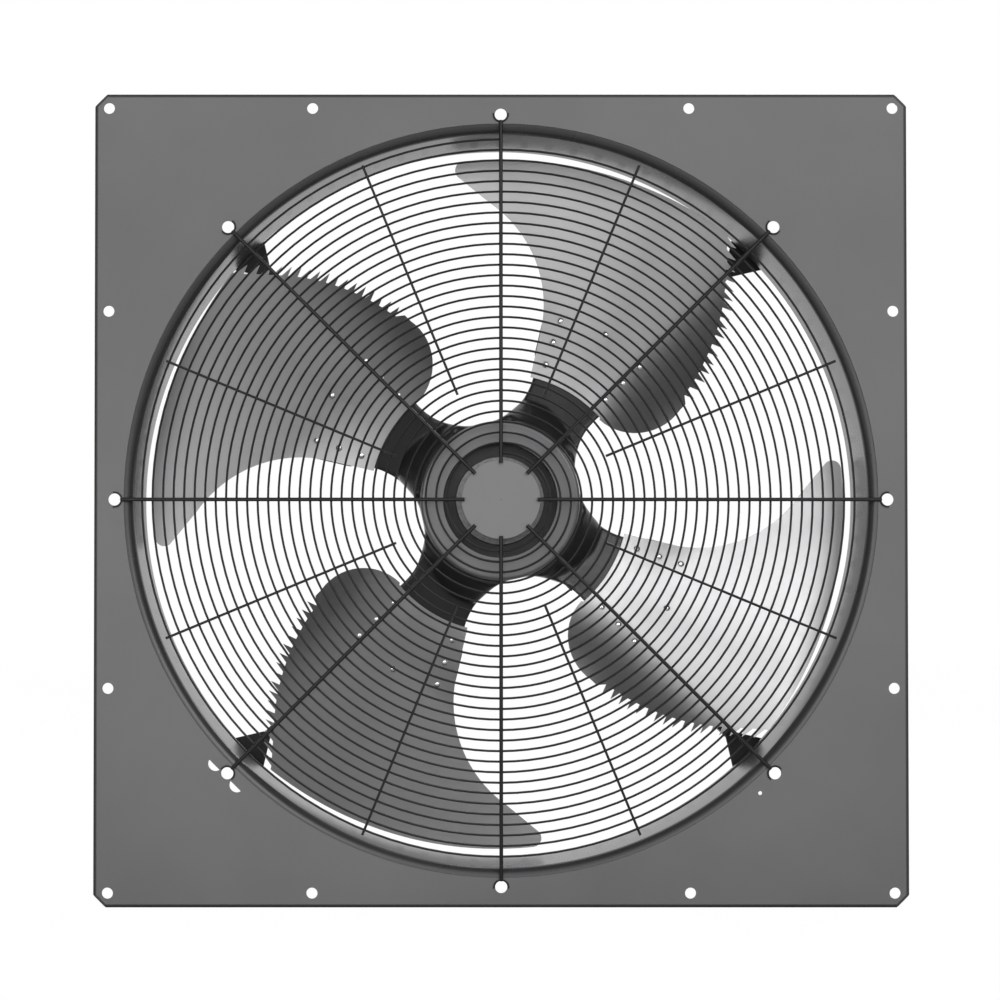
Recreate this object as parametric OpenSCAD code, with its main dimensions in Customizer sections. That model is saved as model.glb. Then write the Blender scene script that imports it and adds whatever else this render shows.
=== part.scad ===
// Axial fan in a square wall plate, seen from its discharge side.
// X is to the right, Z is up and Y is the depth away from the viewer.
// The origin is on the fan axis, in the plane of the plate's visible face.

/* [Wall plate] */
// Distance from the guard holes' circle to the plate's outer edge
plate_margin = 27; // [26:0.5:30]
// Sheet thickness of the plate
plate_sheet = 2; // [1.5:0.5:3]
// Depth of the flange folded back around the plate
flange_depth = 25; // [18:1:40]
// Outside radius of the folded edge
bend_radius = 4; // [3.5:0.5:6]
// Length of each leg of the cut corners
corner_cut = 17; // [12:1:19]
// Diameter of the twelve wall bolt holes
wall_hole_d = 14.5; // [10:0.5:15]
// Distance of the wall holes from the plate's edge
wall_hole_edge = 19; // [18:0.5:20]
// Distance from a corner hole to the next middle hole
middle_hole_offset = 268; // [246:2:296]

/* [Nozzle] */
// Inner radius at the narrowest place
throat_r = 479; // [476:1:481]
// Widening of the wall from the throat to the outlet lip
outlet_widening = 4.5; // [3:0.5:5]
// Radius of the rolled outlet lip
lip_radius = 13.5; // [10:0.5:14]
// Radius of the inlet flare
flare_radius = 24; // [20:1:25]
// Depth of the wall between lip and flare
wall_length = 105.5; // [101:0.5:116]
// Sheet thickness of the nozzle
nozzle_sheet = 2; // [1.5:0.5:3]
// Width of the flat rim behind the flare
rim_width = 11; // [10:0.5:12]

/* [Guard] */
// Distance from the throat to the guard holes' circle
guard_hole_offset = 29; // [28:0.5:30]
// Diameter of the eight guard holes
guard_hole_d = 16; // [12:0.5:16]
// Distance from the throat in to the outermost turn of the spiral
spiral_inset = 3.8; // [2:0.2:14]
// Radius at which the spiral ends
spiral_inner_r = 61.2; // [58:0.2:70]
// Turns of the spiral
spiral_turns = 30; // [20:1:30]
// Diameter of the spiral wire
spiral_wire_d = 3; // [2.5:0.5:4]
// Diameter of the eight long spokes
spoke_d = 5; // [4:0.5:6]
// Radius at which the long spokes end
spoke_inner_r = 46; // [40:1:48]
// Diameter of the eight short spokes
short_spoke_d = 3.4; // [3:0.2:4]
// Radius at which the short spokes end
short_spoke_inner_r = 149; // [120:1:180]
// Diameter of the plain centre disc
disc_d = 104; // [100:1:110]
// Thickness of the centre disc
disc_sheet = 2; // [1:0.5:3]

/* [Blades] */
// Gap between the blade tips and the throat
tip_gap = 9; // [7:0.5:19]
// Radius of the blade roots
root_r = 174.5; // [172:0.5:180]
// Sheet thickness of the blades
blade_sheet = 4; // [3:0.5:5]
// Depth of a blade where it crosses its arm's middle line
blade_depth = 78; // [76:1:80]
// Slope of a blade where it crosses its arm's middle line
pitch_angle = 19.5; // [18:0.5:20.5]
// Radius of the blade's hollow curve
camber_r = 1000; // [950:10:1100]
// Direction of the first arm, counterclockwise from the right
arm_angle = 57.5; // [50:0.5:65]
// Radius of the hollow front edge
front_edge_r = 173.5; // [165:0.5:176]
// Radius of the round corner at the leading tip
front_corner_r = 12; // [8:1:16]
// Radius of the toothed rear edge
rear_edge_r = 297; // [292:1:300]
// Teeth on the rear edge
teeth = 14; // [10:1:16]
// Length of the teeth
tooth_length = 13; // [8:0.5:16]
// Radius of the round lobe behind the root
lobe_r = 68; // [60:1:70]
// Shank diameter of the blade rivets
rivet_d = 5; // [4:0.5:6]
// Head diameter of the blade rivets
rivet_head_d = 9; // [8:0.5:10]

/* [Hub star] */
// Outer radius of the hub ring
hub_r = 106; // [104:0.5:108]
// Radius of the round gaps between the arms
gap_r = 91.5; // [88:0.5:93]
// Half the spread of an arm's outer end
arm_spread = 17.3; // [15.5:0.1:17.5]
// Thickness of the arms
arm_thickness = 8; // [6:0.5:10]
// Radius at which the arms end under the blades
arm_end_r = 279; // [276:1:290]

/* [Motor] */
// Outside radius of the rotor cup
rotor_r = 98; // [96:0.5:98.5]
// Wall of the rotor cup
rotor_wall = 6; // [5:0.5:7]
// Depth of the rotor cup's closed face
rotor_face_depth = 50; // [48:1:52]
// Length of the rotor cup
rotor_length = 124; // [116:1:128]
// Thickness of the magnets
magnet_thickness = 6; // [5:0.5:7]
// Number of magnets
magnets = 10; // [8:2:14]
// Air gap between magnets and core
air_gap = 1; // [0.8:0.1:2]
// Slots of the core
slots = 12; // [9:3:15]
// Length of the core's sheet stack
stack_length = 62; // [50:1:66]
// Shaft diameter
shaft_d = 25; // [22:1:26]
// Outside diameter of the bearings
bearing_d = 52; // [50:1:54]
// Width of the bearings
bearing_width = 15; // [13:1:16]
// Balls in each bearing
balls = 9; // [7:1:9]

/* [Supports] */
// Thickness of the strut bars
strut_thickness = 10; // [8:1:12]
// Thickness of the strut feet
foot_thickness = 4; // [3:0.5:5]
// Radius of the round motor plate
motor_plate_r = 105; // [103:0.5:106]
// Thickness of the motor plate
motor_plate_thickness = 6; // [5:0.5:8]

/* [Electronics] */
// Outside radius of the electronics housing
housing_r = 97; // [94:0.5:98]
// Depth of the electronics housing
housing_depth = 46; // [42:1:60]
// Wall of the electronics housing
housing_wall = 4; // [3:0.5:5]
// Cooling fins of the housing
fins = 28; // [20:4:36]
// Free cable diameter of the glands
gland_bore_d = 12; // [8:0.5:13]

/* [Hidden] */
$fn = 96;
tiny = 0.01;
seat_gap = 0.3;
weld_gap = 0.1;

// plate and nozzle
guard_circle_d = 2 * (throat_r + guard_hole_offset);
plate_size = guard_circle_d + 2 * plate_margin;
wall_hole_pitch = plate_size - 2 * wall_hole_edge;
middle_hole_pitch = wall_hole_pitch - 2 * middle_hole_offset;
outlet_r = throat_r + outlet_widening;
opening_r = outlet_r + lip_radius - 1;
lip_depth = plate_sheet + lip_radius;
flare_start = lip_depth + wall_length;
rim_depth = flare_start + flare_radius;
flare_outer_r = throat_r + flare_radius;
rim_outer_r = flare_outer_r + rim_width;
rim_bolt_r = flare_outer_r + rim_width / 2;
nozzle_flange_r = guard_circle_d / 2 + 14;

// guard, stacked from the plate's face towards the viewer
spiral_outer_r = throat_r - spiral_inset;
spiral_pitch = (spiral_outer_r - spiral_inner_r) / spiral_turns;
spoke_depth = -seat_gap - spoke_d / 2;
spiral_depth = -seat_gap + weld_gap + spiral_wire_d / 2;
short_spoke_depth = spiral_depth - spiral_wire_d / 2 - weld_gap - short_spoke_d / 2;
hook_width = 3.8;
hook_thickness = 3.2;
hook_inner_r = guard_hole_d / 2 + seat_gap;
hook_outer_r = hook_inner_r + hook_width;
hook_sweep = 230;
short_spoke_outer_r = spiral_outer_r + 1;

// blade sheet: a stretch of a cylinder lying along the arm; the outline is drawn for one tip radius
tip_r = throat_r - tip_gap;
drawn_tip_r = 470;
blade_scale = tip_r / drawn_tip_r;
sheet_reach = tip_r + 130;
camber_t = camber_r * sin(pitch_angle);
camber_y = blade_depth - camber_r * cos(pitch_angle);
front_s = 167.2;
front_t = 239.7;
front_top_s = front_s + front_edge_r;
corner_lean = 6.5;
front_start = -69.5;
front_end = -3;
tip_back_angle = -8;
tip_teeth = 3;
root_back_angle = 17.7;
root_front_angle = 18.4;
rear_s = 267.6;
rear_t = rear_edge_r - 131;
rear_start = -59.8;
rear_end = -94.7;
lobe_s = 230;
lobe_t = -lobe_r;
lobe_start = -92;
lobe_end = -192;
rivet_rows = [196, 228, 259];
rivet_spread = 13.7;
outer_rivet_r = 266;
rivet_head_h = 2.4;
rivet_fit = 0.1;

// hub star
star_gap_r = hub_r + gap_r - 1;
arm_gap = seat_gap;
hub_length = 62;
hub_front = rotor_face_depth - 8;
hub_back = rotor_face_depth + hub_length;
hub_screw_r = 89;
hub_screw_d = 6;
hub_lip_r = 82;

// rotor cap
cap_wall = 2.5;
cap_front = hub_front - 11;
cap_round = 5;
cap_inner_r = 76;

// motor, from the viewer's side backwards
rotor_back = rotor_face_depth + rotor_length;
rotor_face_thickness = 8;
rotor_boss_length = 18;
rotor_back_gap = 4;
flange_thickness = 7;
magnet_outer_r = rotor_r - rotor_wall - weld_gap;
magnet_inner_r = magnet_outer_r - magnet_thickness;
core_r = magnet_inner_r - air_gap;
stack_start = rotor_face_depth + 36;
stack_end = stack_start + stack_length;
plate_front = rotor_back + rotor_back_gap + flange_thickness;
tube_r = bearing_d / 2 + 8;
bearing_front = rotor_face_depth + 24;
bearing_rear = rotor_back - 26;
tube_start = bearing_front - 2;
flange_front = rotor_back + rotor_back_gap;
shaft_start = rotor_face_depth - 6;
shaft_end = bearing_rear + bearing_width + 8;
race_inner_r = shaft_d / 2 + 3.4;
race_outer_r = bearing_d / 2 - 3.4;
ball_circle_r = (shaft_d + bearing_d) / 4;
ball_r = (bearing_d - shaft_d) / 4 - 2.8;
groove_r = ball_r + seat_gap;
motor_bolt_r = 58;
motor_bolt_d = 8;
pole_angle = 360 / slots;
tooth_half = 5.5;
slot_start = tube_r + 12;
slot_end = core_r - 6;
coil_thickness = 4.5;

// struts
foot_inner_s = throat_r - 33;
foot_half = 42;
foot_outer_s = rim_outer_r - 2;
foot_flare = 58;
foot_overlap = 10;
rim_bolt_t = 30;
rim_bolt_s = sqrt(rim_bolt_r * rim_bolt_r - rim_bolt_t * rim_bolt_t);
rim_bolt_d = 6;
strut_outer_s = rim_outer_r - 12;
strut_slope = 70;
ear_half = 12;
ear_end = motor_plate_r + 47;
inner_foot_start = motor_plate_r + 4;
inner_foot_thickness = 5;
inner_bolt_s = motor_plate_r + 12;
inner_bolt_step = 22;
strut_inner_s = ear_end - 5;

// electronics
housing_front = plate_front + motor_plate_thickness;
housing_back = housing_front + housing_depth;
board_depth = housing_front + 12;
board_post_r = 74;
cover_thickness = 3;
seal_thickness = 1.5;
cover_screw_r = housing_r - 9;
cover_step = 24;
post_r = 6;
fin_height = 8;
fin_width = 2.6;
gland_turn = arm_angle - 90;
gland_box_overhang = 5;
gland_box_height = gland_box_overhang + housing_wall + 2 * post_r - 1;
gland_spacing = 46;
gland_depth = housing_front + housing_depth / 2;
gland_r = gland_bore_d / 2 + 3;

// placing helpers

// Draws a flat outline, seen from the front, between two depths.
module deep(a, b) {
    rotate([90, 0, 0])
        translate([0, 0, -b])
            linear_extrude(height = b - a)
                children();
}

// Turns a profile of radius and depth around the fan axis.
module spun() {
    rotate([-90, 0, 0])
        rotate_extrude($fn = 180)
            children();
}

// Turns children counterclockwise, as the viewer sees it.
module around(angle) {
    rotate([0, -angle, 0])
        children();
}

// Round bar along the depth.
module pin(r, a, b) {
    translate([0, a, 0])
        rotate([-90, 0, 0])
            cylinder(r = r, h = b - a);
}

// Flat ring profile for spun().
module band(r1, r2, a, b) {
    translate([r1, a])
        square([r2 - r1, b - a]);
}

// Hexagon bar along the depth, sized over its flats.
module hexagon(flats, a, b) {
    translate([0, a, 0])
        rotate([-90, 0, 0])
            cylinder(d = flats / cos(30), h = b - a, $fn = 6);
}

// Quarter of a round sheet edge, for profiles.
module quarter_ring(r, sheet, sx, sy) {
    reach = r + 1;
    intersection() {
        difference() {
            circle(r = r);
            circle(r = r - sheet);
        }
        translate([sx < 0 ? -reach : 0, sy < 0 ? -reach : 0])
            square([reach, reach]);
    }
}

// wall plate

module cut_square(size, cut) {
    half = size / 2;
    polygon([[half - cut, half], [half, half - cut],
        [half, cut - half], [half - cut, -half],
        [cut - half, -half], [-half, cut - half],
        [-half, half - cut], [cut - half, half]]);
}

// Side view of the folded tray, long enough for every direction.
module tray_side(size, r, front) {
    half = size / 2;
    translate([r - half, front])
        square([size - 2 * r, flange_depth + 10]);
    translate([-half, front + r])
        square([size, flange_depth + 10]);
    for (side = [-1, 1])
        translate([side * (half - r), front + r])
            circle(r = r);
}

module tray_shape(size, cut, r, front) {
    reach = size + 40;
    intersection() {
        deep(front - 1, flange_depth)
            cut_square(size, cut);
        translate([0, 0, -reach / 2])
            linear_extrude(height = reach)
                tray_side(size, r, front);
        around(90)
            translate([0, 0, -reach / 2])
                linear_extrude(height = reach)
                    tray_side(size, r, front);
    }
}

module wall_holes() {
    corner = wall_hole_pitch / 2;
    middle = middle_hole_pitch / 2;
    for (place = [[corner, corner], [corner, middle], [middle, corner]])
        for (sx = [-1, 1])
            for (sz = [-1, 1])
                translate([sx * place[0], 0, sz * place[1]])
                    pin(wall_hole_d / 2, -1, plate_sheet + 1);
}

// Half-moon slots beside one guard hole, for a cable strap.
module strap_slots() {
    chord_s = guard_circle_d / 2 + 4;
    around(225)
        for (side = [-1, 1])
            deep(-1, plate_sheet + 1)
                intersection() {
                    translate([chord_s - 2, side * 19.8])
                        circle(r = 9.6);
                    translate([chord_s, side * 19.8 - 12])
                        square([16, 24]);
                }
}

module wall_plate() {
    inner = plate_size - 2 * plate_sheet;
    inner_cut = corner_cut - plate_sheet * (2 - sqrt(2));
    color([0.45, 0.45, 0.46])
        difference() {
            tray_shape(plate_size, corner_cut, bend_radius, 0);
            tray_shape(inner, inner_cut, bend_radius - plate_sheet, plate_sheet);
            pin(opening_r, -1, plate_sheet + 1, $fn = 180);
            wall_holes();
            for (k = [0 : 7])
                around(45 * k)
                    translate([guard_circle_d / 2, 0, 0])
                        pin(guard_hole_d / 2, -1, plate_sheet + 1);
            strap_slots();
            around(-48.6)
                translate([guard_circle_d / 2 + 5.5, 0, 0])
                    pin(2.6, -1, plate_sheet + 1);
        }
}

// nozzle

module nozzle_ring() {
    color([0.42, 0.42, 0.43])
        difference() {
            spun() {
                band(outlet_r + lip_radius - tiny, nozzle_flange_r,
                    plate_sheet, plate_sheet + nozzle_sheet);
                translate([outlet_r + lip_radius, lip_depth])
                    quarter_ring(lip_radius, nozzle_sheet, -1, -1);
                polygon([[outlet_r, lip_depth], [outlet_r + nozzle_sheet, lip_depth],
                    [throat_r + nozzle_sheet, flare_start], [throat_r, flare_start]]);
                translate([flare_outer_r, flare_start])
                    quarter_ring(flare_radius, nozzle_sheet, -1, 1);
                band(flare_outer_r - tiny, rim_outer_r, rim_depth - nozzle_sheet, rim_depth);
            }
            for (k = [0 : 7])
                around(45 * k)
                    translate([guard_circle_d / 2, 0, 0])
                        pin(guard_hole_d / 2 + 0.5, 0, plate_sheet + nozzle_sheet + 1);
            around(225)
                deep(plate_sheet - 1, plate_sheet + nozzle_sheet + 1)
                    translate([guard_circle_d / 2 + 2, -32])
                        square([20, 64]);
            around(-48.6)
                translate([guard_circle_d / 2 + 5.5, 0, 0])
                    pin(4, 0, plate_sheet + nozzle_sheet + 1);
            for (k = [0 : 3])
                around(45 + 90 * k)
                    for (side = [-1, 1])
                        translate([rim_bolt_s, 0, side * rim_bolt_t])
                            pin(rim_bolt_d / 2 + 0.3, rim_depth - 10, rim_depth + 1);
        }
}

// guard

// One half turn of the spiral; the two halves have centres a quarter pitch off the axis.
// The wire's section is square here, so that its long mesh stays light.
module spiral_half(r, left) {
    half_wire = spiral_wire_d / 2;
    side = r + spiral_wire_d;
    translate([0, left ? spiral_pitch / 4 : -spiral_pitch / 4])
        intersection() {
            difference() {
                circle(r = r + half_wire);
                circle(r = r - half_wire);
            }
            translate([left ? -side : 0, -side])
                square([side, 2 * side]);
        }
}

module guard_spiral() {
    first = spiral_outer_r - spiral_pitch / 4;
    near = spiral_depth - spiral_wire_d / 2;
    color([0.16, 0.16, 0.17])
        deep(near, near + spiral_wire_d)
            for (turn = [0 : spiral_turns - 1]) {
                spiral_half(first - turn * spiral_pitch, true);
                spiral_half(first - (turn + 0.5) * spiral_pitch, false);
            }
}

// Flat open hook around a guard hole, drawn with the hole at the origin.
module hook_outline() {
    opening = (360 - hook_sweep) / 2;
    difference() {
        circle(r = hook_outer_r);
        circle(r = hook_inner_r);
        polygon([[0, 0], [40 * cos(opening), 40 * sin(opening)],
            [60, 0], [40 * cos(opening), -40 * sin(opening)]]);
    }
}

module guard_long_spokes() {
    hole_s = guard_circle_d / 2;
    spoke_end = hole_s - hook_inner_r - 1;
    color([0.14, 0.14, 0.15])
        for (k = [0 : 7])
            around(45 * k) {
                translate([spoke_inner_r, spoke_depth, 0])
                    rotate([0, 90, 0])
                        cylinder(d = spoke_d, h = spoke_end - spoke_inner_r, $fn = 32);
                deep(-hook_thickness, 0)
                    translate([hole_s, 0])
                        hook_outline();
            }
}

module guard_short_spokes() {
    color([0.16, 0.16, 0.17])
        for (k = [0 : 7])
            around(22.5 + 45 * k)
                translate([short_spoke_inner_r, short_spoke_depth, 0])
                    rotate([0, 90, 0])
                        cylinder(d = short_spoke_d, h = short_spoke_outer_r - short_spoke_inner_r,
                            $fn = 24);
}

module guard_centre_disc() {
    front = spoke_depth + spoke_d / 2 + weld_gap;
    color([0.52, 0.52, 0.52])
        spun()
            band(0, disc_d / 2, front, front + disc_sheet);
}

// blades, drawn with s along the arm and t towards the leading edge

// Points of an arc, from one angle to another.
function arc(centre, r, a, b, steps) =
    [for (i = [0 : steps]) centre + r * [cos(a + (b - a) * i / steps), sin(a + (b - a) * i / steps)]];

// Three points of one tooth that points away from the leading edge.
function tooth(low, high) =
    [low, (low + high) / 2 + [0, -tooth_length], low + 0.62 * (high - low)];

// Teeth along an arc, from the tip inwards.
function arc_teeth(centre, r, a, b, count) =
    [for (k = [0 : count - 1])
        each tooth(centre + r * [cos(a + (b - a) * k / count), sin(a + (b - a) * k / count)],
            centre + r * [cos(a + (b - a) * (k + 1) / count), sin(a + (b - a) * (k + 1) / count)])];

// Teeth along a straight line.
function line_teeth(a, b, count) =
    [for (k = [0 : count - 1]) each tooth(a + (b - a) * k / count, a + (b - a) * (k + 1) / count)];

module blade_outline() {
    corner_s = front_top_s + corner_lean + front_corner_r;
    corner_reach = drawn_tip_r - front_corner_r;
    corner_t = sqrt(corner_reach * corner_reach - corner_s * corner_s);
    corner_end = atan2(corner_t, corner_s);
    tip_end = [drawn_tip_r * cos(tip_back_angle) - 5, drawn_tip_r * sin(tip_back_angle) - 2];
    rear = [rear_s, rear_t];
    teeth_top = rear + rear_edge_r * [cos(rear_start), sin(rear_start)];
    scale(blade_scale)
        polygon(concat(
            arc([0, 0], root_r, -root_back_angle, root_front_angle, 12),
            arc([front_s, front_t], front_edge_r, front_start, front_end, 24),
            arc([corner_s, corner_t], front_corner_r, 180, corner_end, 8),
            arc([0, 0], drawn_tip_r, corner_end - 1, tip_back_angle, 32),
            line_teeth(tip_end, teeth_top, tip_teeth),
            arc_teeth(rear, rear_edge_r, rear_start, rear_end, teeth),
            [[lobe_s + 8, lobe_t - lobe_r - 2]],
            arc([lobe_s, lobe_t], lobe_r, lobe_start, lobe_end, 14)));
}

// Sheet between two distances from the camber line, endless along the arm.
module camber_sheet(near, far) {
    translate([0, camber_y, camber_t])
        rotate([0, 90, 0])
            difference() {
                cylinder(r = camber_r + far, h = sheet_reach, $fn = 240);
                translate([0, 0, -1])
                    cylinder(r = camber_r + near, h = sheet_reach + 2, $fn = 240);
            }
}

// Places children on the camber line, with depth along the sheet's normal.
module on_sheet(s, t) {
    slope = asin((camber_t - t) / camber_r);
    translate([s, camber_y + camber_r * cos(slope), t])
        rotate([-slope, 0, 0])
            children();
}

module rivet_places() {
    for (side = [-1, 1])
        for (r = blade_scale * rivet_rows)
            on_sheet(r * cos(rivet_spread), side * r * sin(rivet_spread))
                children();
    on_sheet(blade_scale * outer_rivet_r, 0)
        children();
}

module blade(number) {
    color([0.6, 0.6, 0.61])
        around(arm_angle + 90 * (number - 1))
            difference() {
                intersection() {
                    deep(0, rim_depth)
                        blade_outline();
                    camber_sheet(-blade_sheet / 2, blade_sheet / 2);
                }
                rivet_places()
                    pin(rivet_d / 2 + rivet_fit, -blade_sheet, blade_sheet, $fn = 24);
            }
}

module blade_1() { blade(1); }
module blade_2() { blade(2); }
module blade_3() { blade(3); }
module blade_4() { blade(4); }

module blade_rivets() {
    front = -blade_sheet / 2;
    back = blade_sheet / 2 + arm_gap + arm_thickness;
    head_r = (rivet_head_d * rivet_head_d / 4 + rivet_head_h * rivet_head_h) / (2 * rivet_head_h);
    color([0.8, 0.8, 0.81])
        for (k = [0 : 3])
            around(arm_angle + 90 * k)
                rivet_places() {
                    pin(rivet_d / 2, front - 1, back + 1, $fn = 24);
                    intersection() {
                        translate([0, front + head_r - rivet_head_h - weld_gap, 0])
                            sphere(r = head_r, $fn = 48);
                        pin(rivet_head_d, front - 5, front - weld_gap, $fn = 24);
                    }
                    pin(rivet_d * 0.8, back + weld_gap, back + 2.5, $fn = 24);
                }
}

// hub star

// One arm from the hub ring outwards, between its two round gaps.
module arm_outline(r, side_gap) {
    start = hub_r - 5;
    difference() {
        intersection() {
            circle(r = r, $fn = 180);
            polygon([[start, start], [start, -start], [r + 10, -(r + 10) * tan(arm_spread)],
                [r + 10, (r + 10) * tan(arm_spread)]]);
        }
        for (side = [-1, 1])
            rotate(45 * side)
                translate([star_gap_r, 0])
                    circle(r = gap_r + side_gap, $fn = 120);
    }
}

module hub_arm() {
    difference() {
        intersection() {
            deep(0, rim_depth)
                arm_outline(blade_scale * arm_end_r, 0);
            camber_sheet(blade_sheet / 2 + arm_gap, blade_sheet / 2 + arm_gap + arm_thickness);
        }
        rivet_places()
            pin(rivet_d / 2 + rivet_fit, -40, 40, $fn = 24);
    }
}

// Sloping web under an arm, a little narrower than the arm.
module arm_web() {
    intersection() {
        spun()
            polygon([[hub_r - 4, hub_front + 3], [hub_r + 5, hub_front + 3],
                [hub_r + 34, hub_front + 40], [hub_r + 34, hub_back - 16], [hub_r - 4, hub_back - 6]]);
        deep(0, rim_depth)
            arm_outline(root_r - 20, 2);
    }
}

module hub_star() {
    color([0.08, 0.08, 0.085])
        difference() {
            union() {
                spun()
                    polygon([[hub_lip_r, hub_front], [hub_r, hub_front], [hub_r, hub_back],
                        [rotor_r + weld_gap, hub_back], [rotor_r + weld_gap, rotor_face_depth],
                        [hub_lip_r, rotor_face_depth]]);
                for (k = [0 : 3])
                    around(arm_angle + 90 * k) {
                        hub_arm();
                        arm_web();
                    }
            }
            for (k = [0 : 7])
                around(45 * k + 22.5)
                    translate([hub_screw_r, 0, 0])
                        pin(hub_screw_d / 2 + 0.2, hub_front - 1, rotor_face_depth + 1, $fn = 24);
        }
}

module hub_screws() {
    color([0.7, 0.7, 0.71])
        for (k = [0 : 7])
            around(45 * k + 22.5)
                translate([hub_screw_r, 0, 0]) {
                    hexagon(10, hub_front - 4, hub_front);
                    pin(hub_screw_d / 2, hub_front - 1, rotor_face_depth + 7, $fn = 24);
                }
}

// rotor

module rotor_cap() {
    outer_r = hub_r;
    color([0.5, 0.5, 0.51])
        spun()
            difference() {
                union() {
                    band(cap_inner_r, outer_r, cap_front + cap_round, hub_front);
                    band(cap_inner_r, outer_r - cap_round, cap_front, hub_front);
                    translate([outer_r - cap_round, cap_front + cap_round])
                        circle(r = cap_round, $fn = 48);
                    band(cap_inner_r, cap_inner_r + cap_wall, cap_front, rotor_face_depth);
                }
                band(cap_inner_r + cap_wall, outer_r - cap_wall, cap_front + cap_round,
                    hub_front + 1);
                band(cap_inner_r + cap_wall, outer_r - cap_round, cap_front + cap_wall,
                    hub_front + 1);
            }
}

module rotor_cup() {
    inner_r = rotor_r - rotor_wall;
    boss_r = shaft_d / 2 + 9;
    color([0.33, 0.33, 0.34])
        difference() {
            spun() {
                band(0, rotor_r, rotor_face_depth, rotor_face_depth + rotor_face_thickness);
                band(inner_r, rotor_r, rotor_face_depth, rotor_back);
                band(0, boss_r, rotor_face_depth - 4, rotor_face_depth + rotor_boss_length);
            }
            pin(shaft_d / 2, rotor_face_depth - 6, rotor_face_depth + 20, $fn = 96);
            for (k = [0 : 7])
                around(45 * k + 22.5)
                    translate([hub_screw_r, 0, 0])
                        pin(hub_screw_d / 2, rotor_face_depth - 1, rotor_face_depth + 7,
                            $fn = 24);
        }
}

module rotor_magnets() {
    gap_angle = 3;
    color([0.25, 0.25, 0.27])
        for (k = [0 : magnets - 1])
            around(k * 360 / magnets)
                rotate([-90, 0, 0])
                    rotate([0, 0, gap_angle / 2])
                        rotate_extrude(angle = 360 / magnets - gap_angle, $fn = 120)
                            band(magnet_inner_r, magnet_outer_r, stack_start - 4, stack_end + 4);
}

module rotor_shaft() {
    color([0.75, 0.75, 0.76])
        spun() {
            band(0, shaft_d / 2, shaft_start, shaft_end);
            band(0, shaft_d / 2 + 3, rotor_face_depth + rotor_boss_length, bearing_front);
        }
}

module inner_race(start) {
    color([0.78, 0.78, 0.79])
        spun()
            difference() {
                band(shaft_d / 2, race_inner_r, start, start + bearing_width);
                translate([ball_circle_r, start + bearing_width / 2])
                    circle(r = groove_r, $fn = 32);
            }
}

module outer_race(start) {
    color([0.78, 0.78, 0.79])
        spun()
            difference() {
                band(race_outer_r, bearing_d / 2, start, start + bearing_width);
                translate([ball_circle_r, start + bearing_width / 2])
                    circle(r = groove_r, $fn = 32);
            }
}

// Balls and the thin cage that keeps them apart.
module ball_set(start) {
    middle = start + bearing_width / 2;
    color([0.8, 0.8, 0.82]) {
        for (k = [0 : balls - 1])
            around(k * 360 / balls)
                translate([ball_circle_r, middle, 0])
                    sphere(r = ball_r, $fn = 32);
        difference() {
            spun()
                band(ball_circle_r - 0.9, ball_circle_r + 0.9, middle - ball_r - 1.5,
                    middle + ball_r + 1.5);
            for (k = [0 : balls - 1])
                around(k * 360 / balls)
                    translate([ball_circle_r - 5, middle, 0])
                        rotate([0, 90, 0])
                            cylinder(r = ball_r + seat_gap, h = 10, $fn = 32);
        }
    }
}

module front_inner_race() { inner_race(bearing_front); }
module rear_inner_race() { inner_race(bearing_rear); }
module front_outer_race() { outer_race(bearing_front); }
module rear_outer_race() { outer_race(bearing_rear); }
module front_ball_set() { ball_set(bearing_front); }
module rear_ball_set() { ball_set(bearing_rear); }

module shaft_ring() {
    start = bearing_rear + bearing_width;
    color([0.3, 0.3, 0.31])
        difference() {
            spun()
                band(shaft_d / 2, shaft_d / 2 + 3, start, start + 1.6);
            translate([0, start - 1, -1.5])
                cube([20, 4, 3]);
        }
}

module bearing_spring() {
    start = bearing_front + bearing_width;
    color([0.6, 0.6, 0.62])
        spun()
            band(race_outer_r + 0.5, bearing_d / 2 - 0.5, start, start + 2);
}

// stator

module stator_bush() {
    bore_r = bearing_d / 2;
    seat_end = bearing_front + bearing_width + 2;
    color([0.62, 0.62, 0.63])
        difference() {
            spun() {
                band(0, tube_r, tube_start, plate_front);
                band(0, rotor_r - 4, flange_front, plate_front);
            }
            pin(bore_r, tube_start - 1, seat_end);
            pin(race_outer_r, tube_start - 1, plate_front + 1);
            pin(bore_r, bearing_rear, plate_front + 1);
            for (k = [0 : 3])
                around(90 * k)
                    translate([motor_bolt_r, 0, 0])
                        pin(motor_bolt_d / 2, flange_front - 1, plate_front + 1, $fn = 24);
        }
}

// Corner of a slot that leaves every tooth the same width all along.
function slot_corner(s, side) =
    [s * cos(pole_angle / 2) + tooth_half * sin(pole_angle / 2),
        side * (s * sin(pole_angle / 2) - tooth_half * cos(pole_angle / 2))];

module core_outline() {
    difference() {
        circle(r = core_r, $fn = 120);
        circle(r = tube_r, $fn = 96);
        for (k = [0 : slots - 1])
            rotate((k + 0.5) * pole_angle) {
                polygon([slot_corner(slot_start, -1), slot_corner(slot_end, -1),
                    slot_corner(slot_end, 1), slot_corner(slot_start, 1)]);
                translate([slot_end - 3, -1.5])
                    square([12, 3]);
            }
    }
}

module stator_core() {
    color([0.4, 0.4, 0.42])
        deep(stack_start, stack_end)
            core_outline();
}

// One coil: a loop around a tooth of the core.
module coil() {
    inner_s = slot_start + 2;
    half = tooth_half + seat_gap;
    length = slot_end - 2 - inner_s;
    difference() {
        translate([inner_s, stack_start - coil_thickness - seat_gap, -half - coil_thickness])
            cube([length, stack_length + 2 * (coil_thickness + seat_gap),
                2 * (half + coil_thickness)]);
        translate([inner_s - 1, stack_start - seat_gap, -half])
            cube([length + 2, stack_length + 2 * seat_gap, 2 * half]);
    }
}

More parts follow.
